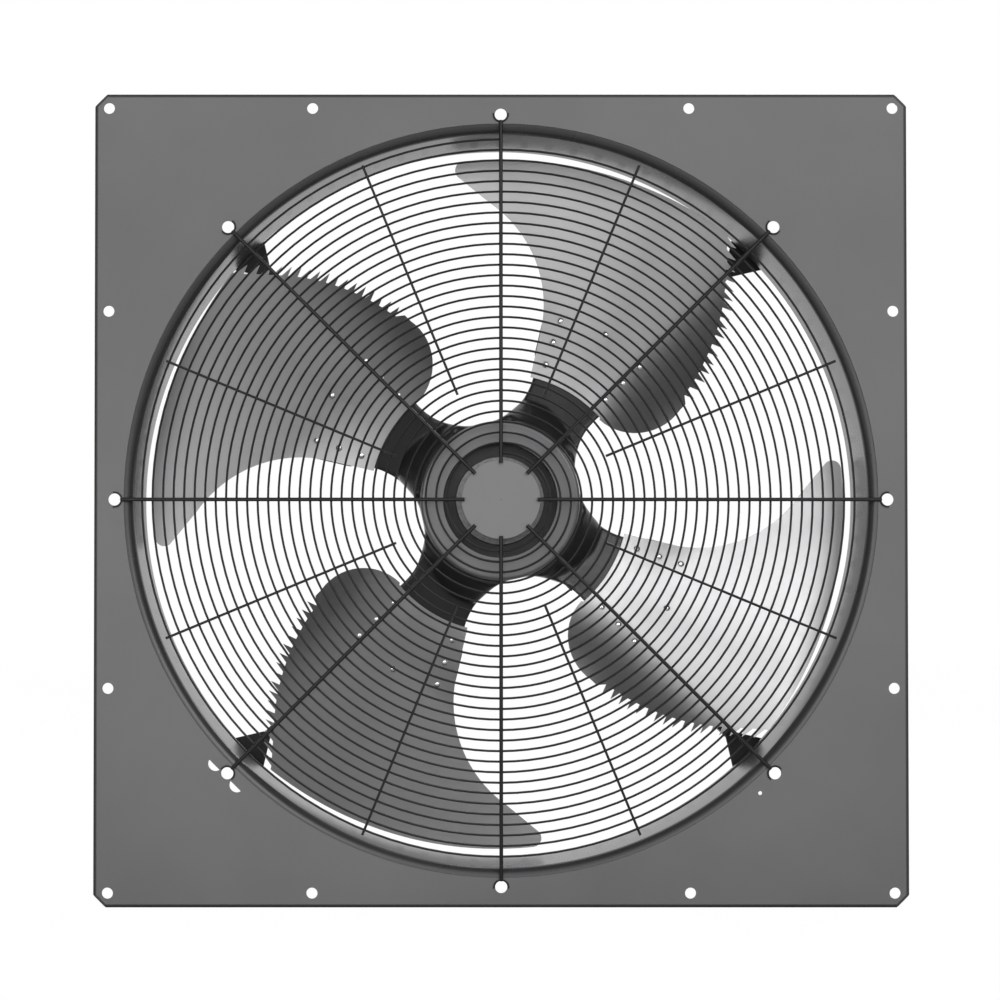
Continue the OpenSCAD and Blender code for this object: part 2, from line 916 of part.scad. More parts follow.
module stator_coils() {
    color([0.65, 0.36, 0.18])
        for (k = [0 : slots - 1])
            around(k * 360 / slots)
                coil();
}

module motor_bolts() {
    color([0.7, 0.7, 0.71])
        for (k = [0 : 3])
            around(90 * k)
                translate([motor_bolt_r, 0, 0]) {
                    hexagon(13, housing_front, housing_front + 5.3);
                    pin(motor_bolt_d / 2 - 0.1, flange_front + 2, housing_front + 1, $fn = 24);
                }
}

// struts and motor plate

// Flat foot: a wide seat on the nozzle's rim that narrows to the bar.
module foot_outline() {
    neck = strut_thickness / 2 + 1;
    wide_s = foot_inner_s + foot_flare;
    polygon([[foot_inner_s, -neck], [wide_s, -foot_half], [foot_outer_s, -foot_half],
        [foot_outer_s, foot_half], [wide_s, foot_half], [foot_inner_s, neck]]);
}

// Side view of the bar, with its outer end sloping down to the foot.
module bar_outline() {
    bar_front = rim_depth + foot_thickness - tiny;
    polygon([[strut_inner_s, bar_front], [strut_outer_s, bar_front],
        [strut_outer_s, bar_front + 8], [strut_outer_s - strut_slope, plate_front],
        [strut_inner_s, plate_front]]);
}

// Edgewise bar on the diagonal, with a flat foot at either end.
module strut(number) {
    bar_front = rim_depth + foot_thickness;
    color([0.09, 0.09, 0.095])
        around(45 + 90 * (number - 1))
            difference() {
                union() {
                    deep(rim_depth, bar_front)
                        foot_outline();
                    translate([0, 0, -strut_thickness / 2])
                        linear_extrude(height = strut_thickness)
                            bar_outline();
                    deep(rim_depth, bar_front)
                        translate([foot_inner_s - 60, -strut_thickness / 2])
                            square([60 + foot_overlap, strut_thickness]);
                    deep(plate_front - inner_foot_thickness, plate_front)
                        translate([inner_foot_start, -ear_half])
                            square([strut_inner_s + foot_overlap - inner_foot_start,
                                2 * ear_half]);
                }
                for (side = [-1, 1])
                    translate([rim_bolt_s, 0, side * rim_bolt_t])
                        pin(rim_bolt_d / 2 + 0.2, rim_depth - 1, bar_front + 1, $fn = 24);
                ear_bolt_places()
                    pin(rim_bolt_d / 2 + 0.2, plate_front - inner_foot_thickness - 1,
                        plate_front + 1, $fn = 24);
            }
}

// The two bolts of one ear of the motor plate.
module ear_bolt_places() {
    for (k = [0 : 1])
        translate([inner_bolt_s + k * inner_bolt_step, 0, 0])
            children();
}

module strut_1() { strut(1); }
module strut_2() { strut(2); }
module strut_3() { strut(3); }
module strut_4() { strut(4); }

module rim_bolts() {
    color([0.7, 0.7, 0.71])
        for (k = [0 : 3])
            around(45 + 90 * k)
                for (side = [-1, 1])
                    translate([rim_bolt_s, 0, side * rim_bolt_t]) {
                        hexagon(10, rim_depth - nozzle_sheet - 4, rim_depth - nozzle_sheet);
                        pin(rim_bolt_d / 2, rim_depth - nozzle_sheet - 1,
                            rim_depth + foot_thickness + 8, $fn = 24);
                    }
}

module rim_nuts() {
    start = rim_depth + foot_thickness;
    color([0.7, 0.7, 0.71])
        for (k = [0 : 3])
            around(45 + 90 * k)
                for (side = [-1, 1])
                    translate([rim_bolt_s, 0, side * rim_bolt_t])
                        difference() {
                            hexagon(10, start, start + 5);
                            pin(rim_bolt_d / 2 + 0.05, start - 1, start + 6, $fn = 24);
                        }
}

// Round plate with an ear for each strut; the ears hide behind the hub star's arms.
module motor_plate_outline() {
    difference() {
        union() {
            circle(r = motor_plate_r, $fn = 180);
            for (k = [0 : 3])
                rotate(45 + 90 * k)
                    translate([motor_plate_r - 20, -ear_half])
                        square([ear_end - motor_plate_r + 20, 2 * ear_half]);
        }
        circle(r = race_outer_r);
    }
}

module motor_plate() {
    color([0.09, 0.09, 0.095])
        difference() {
            union() {
                deep(plate_front, housing_front)
                    motor_plate_outline();
                for (k = [0 : 3])
                    around(45 + 90 * k)
                        translate([board_post_r, 0, 0])
                            pin(4, housing_front - 1, board_depth, $fn = 32);
            }
            for (k = [0 : 3]) {
                around(90 * k)
                    translate([motor_bolt_r, 0, 0])
                        pin(motor_bolt_d / 2 + 0.3, plate_front - 1, housing_front + 1, $fn = 24);
                around(45 + 90 * k)
                    ear_bolt_places()
                        pin(rim_bolt_d / 2 + 0.2, plate_front - 1, housing_front + 1, $fn = 24);
            }
        }
}

module strut_bolts() {
    color([0.7, 0.7, 0.71])
        for (k = [0 : 3])
            around(45 + 90 * k)
                ear_bolt_places() {
                    hexagon(10, housing_front, housing_front + 4);
                    pin(rim_bolt_d / 2, plate_front - inner_foot_thickness - 7,
                        housing_front + 1, $fn = 24);
                }
}

module strut_nuts() {
    back = plate_front - inner_foot_thickness;
    color([0.7, 0.7, 0.71])
        for (k = [0 : 3])
            around(45 + 90 * k)
                ear_bolt_places()
                    difference() {
                        hexagon(10, back - 5, back);
                        pin(rim_bolt_d / 2 + 0.05, back - 6, back + 1, $fn = 24);
                    }
}

// electronics

module electronics_housing() {
    inner_r = housing_r - housing_wall;
    bottom_gap = 34;
    color([0.55, 0.55, 0.56])
        difference() {
            union() {
                spun()
                    band(inner_r, housing_r, housing_front, housing_back);
                for (k = [0 : fins - 1])
                    if (abs((k + 0.5) * 360 / fins - 270) > bottom_gap)
                        around((k + 0.5) * 360 / fins + gland_turn)
                            translate([housing_r - 1, housing_front + 2, -fin_width / 2])
                                cube([fin_height + 1, housing_depth - 6, fin_width]);
                for (k = [0 : 5])
                    around(60 * k)
                        translate([cover_screw_r, 0, 0])
                            pin(post_r, housing_front + 2, housing_back, $fn = 32);
                around(gland_turn)
                    translate([-gland_spacing / 2 - 18, housing_front, -housing_r - gland_box_overhang])
                        cube([gland_spacing + 36, housing_depth - 2, gland_box_height]);
            }
            for (k = [0 : 5])
                around(60 * k)
                    translate([cover_screw_r, 0, 0])
                        pin(2, housing_back - 14, housing_back + 1, $fn = 24);
            around(gland_turn)
                for (side = [-1, 1])
                    translate([side * gland_spacing / 2, gland_depth, -housing_r - 8])
                        cylinder(r = gland_r + 0.3, h = 60, $fn = 48);
        }
}

module control_board() {
    color([0.1, 0.3, 0.16])
        spun()
            band(0, housing_r - housing_wall - 2 * post_r - 2, board_depth, board_depth + 1.6);
}

module board_capacitors() {
    start = board_depth + 1.6;
    color([0.12, 0.12, 0.14])
        for (k = [-1 : 1])
            translate([28 * k, 0, 34])
                pin(11, start, start + 26, $fn = 48);
}

module housing_seal() {
    color([0.1, 0.1, 0.1])
        spun()
            band(housing_r - housing_wall, housing_r, housing_back, housing_back + seal_thickness);
}

module housing_cover() {
    start = housing_back + seal_thickness;
    color([0.2, 0.2, 0.21])
        difference() {
            spun() {
                band(0, housing_r, start, start + cover_thickness);
                band(0, housing_r - cover_step, start, start + cover_thickness + 3);
            }
            for (k = [0 : 5])
                around(60 * k)
                    translate([cover_screw_r, 0, 0])
                        pin(2.3, start - 1, start + cover_thickness + 1, $fn = 24);
        }
}

module cover_screws() {
    top = housing_back + seal_thickness + cover_thickness;
    color([0.7, 0.7, 0.71])
        for (k = [0 : 5])
            around(60 * k)
                translate([cover_screw_r, 0, 0]) {
                    pin(4.5, top, top + 3, $fn = 32);
                    pin(1.9, housing_back - 12, top + 1, $fn = 24);
                }
}

// Cable gland on the housing's wall; its mouth points away from the axis.
module gland(side) {
    seat = -housing_r - gland_box_overhang - 0.5;
    nut_height = 22;
    color([0.12, 0.12, 0.13])
        around(gland_turn)
            translate([side * gland_spacing / 2, gland_depth, 0])
                difference() {
                    union() {
                        translate([0, 0, seat - nut_height])
                            cylinder(r = gland_r + 4, h = nut_height, $fn = 6);
                        translate([0, 0, seat - 4])
                            cylinder(r = gland_r, h = 26, $fn = 48);
                    }
                    translate([0, 0, seat - nut_height - 10])
                        cylinder(d = gland_bore_d, h = 90, $fn = 48);
                }
}

module power_gland() { gland(-1); }
module signal_gland() { gland(1); }

wall_plate();
nozzle_ring();
guard_spiral();
guard_long_spokes();
guard_short_spokes();
guard_centre_disc();
blade_1();
blade_2();
blade_3();
blade_4();
blade_rivets();
hub_star();
hub_screws();
rotor_cap();
rotor_cup();
rotor_magnets();
rotor_shaft();
front_inner_race();
rear_inner_race();
shaft_ring();
front_ball_set();
rear_ball_set();
front_outer_race();
rear_outer_race();
bearing_spring();
stator_bush();
stator_core();
stator_coils();
motor_bolts();
strut_1();
strut_2();
strut_3();
strut_4();
rim_bolts();
rim_nuts();
motor_plate();
strut_bolts();
strut_nuts();
electronics_housing();
control_board();
board_capacitors();
housing_seal();
housing_cover();
cover_screws();
power_gland();
signal_gland();
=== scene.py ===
"""Axial fan in a square wall plate: finishes, detail pieces, studio light and camera."""

import logging
import math
from dataclasses import dataclass
from enum import Enum
from typing import Callable, Protocol, Sequence

import bmesh
import bpy
from mathutils import Matrix, Vector

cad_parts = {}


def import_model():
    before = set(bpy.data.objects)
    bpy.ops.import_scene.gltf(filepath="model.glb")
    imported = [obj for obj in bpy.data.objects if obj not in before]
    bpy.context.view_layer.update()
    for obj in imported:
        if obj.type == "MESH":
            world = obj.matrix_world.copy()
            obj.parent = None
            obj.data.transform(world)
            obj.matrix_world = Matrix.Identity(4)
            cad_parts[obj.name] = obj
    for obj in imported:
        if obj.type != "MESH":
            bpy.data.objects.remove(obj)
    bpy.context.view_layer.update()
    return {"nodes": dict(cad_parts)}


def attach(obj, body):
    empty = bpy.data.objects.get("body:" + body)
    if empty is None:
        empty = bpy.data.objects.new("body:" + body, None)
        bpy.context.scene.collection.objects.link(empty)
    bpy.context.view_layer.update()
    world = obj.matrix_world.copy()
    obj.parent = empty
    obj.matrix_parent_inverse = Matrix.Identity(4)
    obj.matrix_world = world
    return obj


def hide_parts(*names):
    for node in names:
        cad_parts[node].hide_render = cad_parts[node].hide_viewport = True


LOG = logging.getLogger("axial_fan")
MM = 0.001
FRAME_BODY = "frame"
IMPELLER_BODY = "impeller"
WHITE = (1.0, 1.0, 1.0)

Colour = tuple[float, float, float]
Point = tuple[float, float, float]
Pair = tuple[float, float]
Profile = Sequence[Pair]
Shape = bmesh.types.BMesh
Socket = bpy.types.NodeSocket
Paint = Colour | Socket
MeshBuilder = Callable[[Shape], None]


class Ray(Enum):
    """Kind of ray that a material or the world tells apart."""

    CAMERA = "Is Camera Ray"
    GLOSSY = "Is Glossy Ray"
    TRANSMISSION = "Is Transmission Ray"


class StripeAxis(Enum):
    """Axis that stripes follow each other along."""

    WIDTH = "X"
    DEPTH = "Y"


class Signal:
    """A number that varies over a surface, held as the output socket of a node."""

    def __init__(self, graph: "FinishGraph", socket: Socket) -> None:
        """Wraps one output socket of a finish graph."""
        self.graph = graph
        self.socket = socket

    def _math(self, operation: str, *terms: "Signal | float") -> "Signal":
        """Adds one Math node.

        Args:
            operation: Name of the Math node's operation.
            terms: The node's inputs in their order.

        Returns:
            The node's output.
        """
        node = self.graph.node("ShaderNodeMath", {"operation": operation}, dict(enumerate(terms)))
        return Signal(self.graph, node.outputs[0])

    def __add__(self, other: "Signal | float") -> "Signal":
        """self + other."""
        return self._math("ADD", self, other)

    def __radd__(self, other: float) -> "Signal":
        """other + self."""
        return self._math("ADD", other, self)

    def __sub__(self, other: "Signal | float") -> "Signal":
        """self - other."""
        return self._math("SUBTRACT", self, other)

    def __rsub__(self, other: float) -> "Signal":
        """other - self."""
        return self._math("SUBTRACT", other, self)

    def __mul__(self, other: "Signal | float") -> "Signal":
        """self * other."""
        return self._math("MULTIPLY", self, other)

    def __rmul__(self, other: float) -> "Signal":
        """other * self."""
        return self._math("MULTIPLY", other, self)

    def __abs__(self) -> "Signal":
        """This signal without its sign."""
        return self._math("ABSOLUTE", self)

    def at_least(self, other: "Signal | float") -> "Signal":
        """The larger of this signal and another."""
        return self._math("MAXIMUM", self, other)

    def around(self, middle: float, swing: float) -> "Signal":
        """Varies around a middle value, where this signal runs from 0 to 1.

        Args:
            middle: Value at 0.5.
            swing: Difference between the values at 0 and at 1.

        Returns:
            The varying value.
        """
        return self * swing + (middle - swing / 2.0)

    def over(self, low: float, high: float) -> "Signal":
        """Rises smoothly from 0 at low to 1 at high.

        Args:
            low: Value that gives 0.
            high: Value that gives 1.

        Returns:
            The smooth step of this signal.
        """
        node = self.graph.node(
            "ShaderNodeMapRange",
            {"interpolation_type": "SMOOTHSTEP"},
            {"Value": self, "From Min": low, "From Max": high},
        )
        return Signal(self.graph, node.outputs["Result"])


class FinishGraph:
    """The node tree of one material or world, built from few kinds of steps."""

    def __init__(self, name: str, world: bool = False) -> None:
        """Starts an empty material, or an empty world, of that name.

        Args:
            name: Its name.
            world: True for a world, whose place is the direction that a ray leaves in.
        """
        self.holder = (bpy.data.worlds if world else bpy.data.materials).new(name)
        self.holder.use_nodes = True
        self.tree = self.holder.node_tree
        self.tree.nodes.clear()
        self.place = self.node("ShaderNodeTexCoord").outputs["Generated" if world else "Object"]

    def node(self, kind: str, settings: dict | None = None, sockets: dict | None = None) -> bpy.types.Node:
        """Adds a node.

        Args:
            kind: The node's type.
            settings: The node's own settings.
            sockets: Values or links of its input sockets, by name or place.

        Returns:
            The new node.
        """
        node = self.tree.nodes.new(kind)
        for key, value in (settings or {}).items():
            setattr(node, key, value)
        for key, value in (sockets or {}).items():
            if isinstance(value, Signal):
                self.tree.links.new(value.socket, node.inputs[key])
            elif isinstance(value, Socket):
                self.tree.links.new(value, node.inputs[key])
            else:
                node.inputs[key].default_value = value
        return node

    def stretched(self, scale: Point) -> Socket:
        """Object coordinates, scaled along each axis.

        Args:
            scale: Factor along X, Y and Z.

        Returns:
            The scaled coordinates.
        """
        return self.node("ShaderNodeMapping", {}, {"Vector": self.place, "Scale": scale}).outputs["Vector"]

    def towards(self, direction: Point) -> Signal:
        """How far the place lies towards a direction; for a world, the cosine of the angle to it.

        Args:
            direction: The direction, of any length.

        Returns:
            The dot product with the direction's unit vector.
        """
        unit = tuple(Vector(direction).normalized())
        node = self.node("ShaderNodeVectorMath", {"operation": "DOT_PRODUCT"}, {0: self.place, 1: unit})
        return Signal(self, node.outputs["Value"])

    def border(self, corner: float) -> Signal:
        """How far out a place on the plate lies, with one value all along its eight sides.

        Args:
            corner: Half the plate's width less the length of a cut corner's leg, in metres.

        Returns:
            Half the width of the eight-sided outline through the place, in metres.
        """
        parts = self.node("ShaderNodeSeparateXYZ", {}, {0: self.place})
        across = abs(Signal(self, parts.outputs["X"]))
        up = abs(Signal(self, parts.outputs["Z"]))
        return across.at_least(up).at_least(across + up - corner)

    def ray(self, kind: Ray) -> Signal:
        """1 for rays of one kind, and 0 for others."""
        return Signal(self, self.node("ShaderNodeLightPath").outputs[kind.value])

    def noise(self, scale: float, detail: float, place: Socket | None = None) -> Signal:
        """Cloudy noise.

        Args:
            scale: Clouds per metre.
            detail: Levels of finer clouds.
            place: Coordinates, if not the object's own.

        Returns:
            Noise between 0 and 1.
        """
        node = self.node(
            "ShaderNodeTexNoise",
            {},
            {"Vector": place or self.place, "Scale": scale, "Detail": detail, "Roughness": 0.55},
        )
        return Signal(self, node.outputs["Fac"])

    def cells(self, scale: float) -> Signal:
        """Distance to the middle of the nearest cell.

        Args:
            scale: Cells per metre.

        Returns:
            The distance, 0 in a cell's middle.
        """
        node = self.node("ShaderNodeTexVoronoi", {}, {"Vector": self.place, "Scale": scale})
        return Signal(self, node.outputs["Distance"])

    def stripes(self, axis: StripeAxis, per_metre: float) -> Signal:
        """Even light and dark stripes across one axis.

        Args:
            axis: Axis that the stripes follow each other along.
            per_metre: Stripes in one metre, with the dark ones counted too.

        Returns:
            A wave between 0 and 1.
        """
        radians_per_metre = 20.0
        node = self.node(
            "ShaderNodeTexWave",
            {"wave_type": "BANDS", "bands_direction": axis.value, "wave_profile": "SIN"},
            {"Vector": self.place, "Scale": per_metre * math.pi / radians_per_metre, "Distortion": 0.0},
        )
        return Signal(self, node.outputs["Fac"])

    def blend(self, first: Paint, second: Paint, share: Signal | float) -> Socket:
        """Mixes two colours.

        Args:
            first: Colour or socket at share 0.
            second: Colour or socket at share 1.
            share: Share of the second colour.

        Returns:
            The mixed colour's socket.
        """
        node = self.node(
            "ShaderNodeMix",
            {"data_type": "RGBA"},
            {0: share, 6: self._colour(first), 7: self._colour(second)},
        )
        return node.outputs[2]

    @staticmethod
    def _colour(value: Paint) -> tuple | Socket:
        """A plain colour with its fourth number; a socket stays as it is."""
        return (*value, 1.0) if isinstance(value, tuple) else value

    def relief(self, height: Signal, depth: float) -> Socket:
        """Small bumps of the surface.

        Args:
            height: The bumps' height.
            depth: Height in metres that 1 stands for.

        Returns:
            The bent normal's socket.
        """
        node = self.node("ShaderNodeBump", {}, {"Height": height, "Distance": depth, "Strength": 1.0})
        return node.outputs["Normal"]

    def light(self, kind: str, strength: Signal | float) -> Socket:
        """White light from a surface or from the world.

        Args:
            kind: ShaderNodeEmission or ShaderNodeBackground.
            strength: Its strength.

        Returns:
            The shader's socket.
        """
        return self.node(kind, {}, {"Color": self._colour(WHITE), "Strength": strength}).outputs[0]

    def either(self, first: Socket, second: Socket, share: Signal,
               output: str) -> bpy.types.ID:
        """Ends the tree in a mix of two shaders.

        Args:
            first: Shader at share 0.
            second: Shader at share 1.
            share: Share of the second shader.
            output: Type of the output node.

        Returns:
            The finished material or world.
        """
        mixed = self.node("ShaderNodeMixShader", {}, {0: share, 1: first, 2: second})
        self.node(output, {}, {"Surface": mixed.outputs[0]})
        return self.holder

    def surface(self, sockets: dict) -> bpy.types.Material:
        """Ends the tree in a Principled shader.

        Args:
            sockets: Values or links of the shader.

        Returns:
            The finished material.
        """
        shader = self.node("ShaderNodeBsdfPrincipled", {}, sockets)
        self.node("ShaderNodeOutputMaterial", {}, {"Surface": shader.outputs["BSDF"]})
        return self.holder


def tinted(colour: Colour, factor: float, lift: float = 0.0) -> Colour:
    """A colour times a factor, then lifted by a fixed amount."""
    return tuple(part * factor + lift for part in colour)


class Finish(Protocol):
    """What every finish offers: a name, and a method that builds its material."""

    name: str

    def build(self) -> bpy.types.Material:
        """Builds the material."""


@dataclass(frozen=True)
class PowderCoat:
    """Satin coat on sheet steel: slightly cloudy, with fine orange peel and dull dust."""

    name: str
    colour: Colour
    roughness: float
    cloud: float
    peel: float
    metallic: float = 0.0
    shine: float = 0.5
    # Where the painted shade along the plate's bent edge starts, and how wide its band is.
    painted_shade_start: float = 0.0
    corner: float = 0.0
    painted_shade_width: float = 1.5 * MM

    def build(self) -> bpy.types.Material:
        """Builds the material, with painted shade in a band along the plate's bent edge where one is given.
        """
        graph = FinishGraph(self.name)
        clouds = graph.noise(scale=2.2, detail=4.0)
        specks = graph.noise(scale=900.0, detail=2.0).over(0.62, 0.75)
        peel = graph.noise(scale=420.0, detail=2.0)
        darker = tinted(self.colour, 1.0 - self.cloud)
        lighter = tinted(self.colour, 1.0 + self.cloud)
        base = graph.blend(darker, lighter, clouds.over(0.3, 0.7))
        dusty = graph.blend(base, tinted(self.colour, 1.25, 0.01), specks * 0.25)
        # Painted shade: the colour darkens in a band along the plate's bent edge.
        if self.painted_shade_start > 0.0:
            line = graph.border(self.corner).over(self.painted_shade_start, self.painted_shade_start + self.painted_shade_width)
            dusty = graph.blend(dusty, tinted(self.colour, 0.2), line)
        return graph.surface(
            {
                "Base Color": dusty,
                "Metallic": self.metallic,
                "Specular IOR Level": self.shine,
                "Roughness": clouds.around(self.roughness, 0.10) + specks * 0.08,
                "Normal": graph.relief(peel, self.peel),
            }
        )


@dataclass(frozen=True)
class GlossCoat:
    """Thick glossy coat on a casting: soft waves under a clear shine."""

    name: str
    colour: Colour
    roughness: float
    coat: float
    shine: float

    def build(self) -> bpy.types.Material:
        """Builds the material."""
        graph = FinishGraph(self.name)
        waves = graph.noise(scale=60.0, detail=2.0)
        grit = graph.noise(scale=700.0, detail=3.0)
        scuffs = graph.noise(scale=26.0, detail=5.0).over(0.62, 0.72)
        return graph.surface(
            {
                "Base Color": graph.blend(self.colour, tinted(self.colour, 1.6, 0.01), scuffs * 0.35),
                "Roughness": grit.around(self.roughness, 0.06) + scuffs * 0.18,
                "Specular IOR Level": self.shine,
                "Coat Weight": self.coat,
                "Coat Roughness": 0.2,
                "Normal": graph.relief(waves * 0.85 + grit * 0.15, 0.6 * MM),
            }
        )


@dataclass(frozen=True)
class RolledMetal:
    """Bare rolled sheet: fine streaks along X, soft stains, a curled rear and a flatter root."""

    name: str
    colour: Colour
    roughness: float
    metallic: float
    rear: Point
    outward: Point
    grain: Point = (6.0, 260.0, 260.0)
    curl_start: float = -10 * MM
    curl_rate: float = 2.6
    root_inner: float = 140 * MM
    root_outer: float = 250 * MM
    root_tilt: float = 0.14

    def build(self) -> bpy.types.Material:
        """Builds the material; past its start the curl grows as a square, and the root lies flatter."""
        graph = FinishGraph(self.name)
        across = graph.towards(self.rear)
        past = (across - self.curl_start).at_least(0.0)
        root = 1.0 - graph.towards(self.outward).over(self.root_inner, self.root_outer)
        curl = past * past * self.curl_rate - across * root * self.root_tilt
        streaks = graph.noise(scale=1.0, detail=3.0, place=graph.stretched(self.grain))
        stains = graph.noise(scale=7.0, detail=4.0)
        base = graph.blend(tinted(self.colour, 0.90), self.colour, streaks * 0.5 + stains * 0.5)
        return graph.surface(
            {
                "Base Color": base,
                "Metallic": self.metallic,
                "Roughness": streaks.around(self.roughness, 0.14) + stains.around(0.0, 0.08),
                "Normal": graph.relief(streaks * 0.00005 + curl, 1.0),
            }
        )


@dataclass(frozen=True)
class PlatedSteel:
    """Bright plated fastener or ground steel, with faint patches."""

    name: str
    colour: Colour
    tint: Colour
    roughness: float

    def build(self) -> bpy.types.Material:
        """Builds the material."""
        graph = FinishGraph(self.name)
        patches = graph.noise(scale=160.0, detail=3.0)
        grit = graph.noise(scale=1600.0, detail=2.0)
        return graph.surface(
            {
                "Base Color": graph.blend(self.colour, self.tint, patches.over(0.35, 0.7)),
                "Metallic": 1.0,
                "Roughness": grit.around(self.roughness, 0.12),
                "Normal": graph.relief(grit, 0.03 * MM),
            }
        )


@dataclass(frozen=True)
class CastMetal:
    """Rough casting with a grainy skin and darker patches."""

    name: str
    colour: Colour
    roughness: float = 0.5
    metallic: float = 0.85

    def build(self) -> bpy.types.Material:
        """Builds the material."""
        graph = FinishGraph(self.name)
        skin = graph.noise(scale=1100.0, detail=3.0)
        stains = graph.noise(scale=18.0, detail=4.0)
        return graph.surface(
            {
                "Base Color": graph.blend(tinted(self.colour, 0.78), self.colour, stains.over(0.3, 0.65)),
                "Metallic": self.metallic,
                "Roughness": stains.around(self.roughness, 0.16),
                "Normal": graph.relief(skin, 0.22 * MM),
            }
        )


@dataclass(frozen=True)
class StackedSheet:
    """Core of thin sheets stacked along the axis, seen as fine stripes with some rust."""

    name: str
    colour: Colour
    rust: Colour = (0.20, 0.11, 0.07)

    def build(self) -> bpy.types.Material:
        """Builds the material."""
        graph = FinishGraph(self.name)
        sheets = graph.stripes(StripeAxis.DEPTH, 1000.0)
        rusty = graph.noise(scale=45.0, detail=4.0).over(0.55, 0.75)
        base = graph.blend(tinted(self.colour, 0.55), self.colour, sheets)
        return graph.surface(
            {
                "Base Color": graph.blend(base, self.rust, rusty * 0.3),
                "Metallic": 0.8,
                "Roughness": rusty * 0.25 + 0.38,
                "Normal": graph.relief(sheets, 0.2 * MM),
            }
        )


@dataclass(frozen=True)
class WoundWire:
    """Enamelled copper wire lying side by side, with painted shade between the strands."""

    name: str
    colour: Colour

    def build(self) -> bpy.types.Material:
        """Builds the material."""
        graph = FinishGraph(self.name)
        strands = graph.cells(900.0)
        varnish = graph.noise(scale=80.0, detail=3.0)
        # Painted shade: the colour darkens in the gaps between the strands.
        painted_gap_shade = strands.over(0.25, 0.7)
        return graph.surface(
            {
                "Base Color": graph.blend(tinted(self.colour, 0.45), self.colour, 1.0 - painted_gap_shade),
                "Metallic": 0.7,
                "Roughness": varnish.around(0.32, 0.2),
                "Normal": graph.relief(1.0 - strands, 0.4 * MM),
            }
        )


@dataclass(frozen=True)
class CircuitBoard:
    """Green lacquered board with lighter tracks and round pads."""

    name: str
    lacquer: Colour = (0.015, 0.09, 0.035)
    track: Colour = (0.05, 0.22, 0.08)
    pad: Colour = (0.55, 0.52, 0.42)

    def build(self) -> bpy.types.Material:
        """Builds the material."""
        graph = FinishGraph(self.name)
        stripes = graph.stripes(StripeAxis.WIDTH, 260.0).over(0.55, 0.75)
        tracks = stripes * graph.noise(scale=38.0, detail=1.0).over(0.5, 0.53)
        pads = 1.0 - graph.cells(170.0).over(0.12, 0.2)
        green = graph.blend(self.lacquer, self.track, tracks)
        return graph.surface(
            {
                "Base Color": graph.blend(green, self.pad, pads),
                "Roughness": 0.42 - pads * 0.15,
                "Metallic": pads * 0.8,
                "Normal": graph.relief(tracks + pads, 0.08 * MM),
            }
        )


@dataclass(frozen=True)
class MouldedPlastic:
    """Moulded plastic or rubber with an even spark-eroded grain."""

    name: str
    colour: Colour
    roughness: float

    def build(self) -> bpy.types.Material:
        """Builds the material."""
        graph = FinishGraph(self.name)
        pits = graph.noise(scale=1500.0, detail=2.0)
        flow = graph.noise(scale=12.0, detail=3.0)
        return graph.surface(
            {
                "Base Color": graph.blend(tinted(self.colour, 0.85), tinted(self.colour, 1.15), flow),
                "Roughness": flow.around(self.roughness, 0.12),
                "Normal": graph.relief(pits, 0.12 * MM),
            }
        )


def new_mesh(name: str, build: MeshBuilder, outward: bool) -> bpy.types.Mesh:
    """Makes a mesh.

    Args:
        name: Its name.
        build: Function that fills it.
        outward: True where its faces are turned outwards, False where they stay as built.

    Returns:
        The new mesh.
    """
    shape = bmesh.new()
    build(shape)
    if outward:
        bmesh.ops.recalc_face_normals(shape, faces=shape.faces)
    mesh = bpy.data.meshes.new(name)
    shape.to_mesh(mesh)
    shape.free()
    return mesh


def new_object(name: str, data: bpy.types.ID) -> bpy.types.Object:
    """Puts a mesh, a lamp or a camera into the scene as a new object."""
    made = bpy.data.objects.new(name, data)
    bpy.context.scene.collection.objects.link(made)
    return made


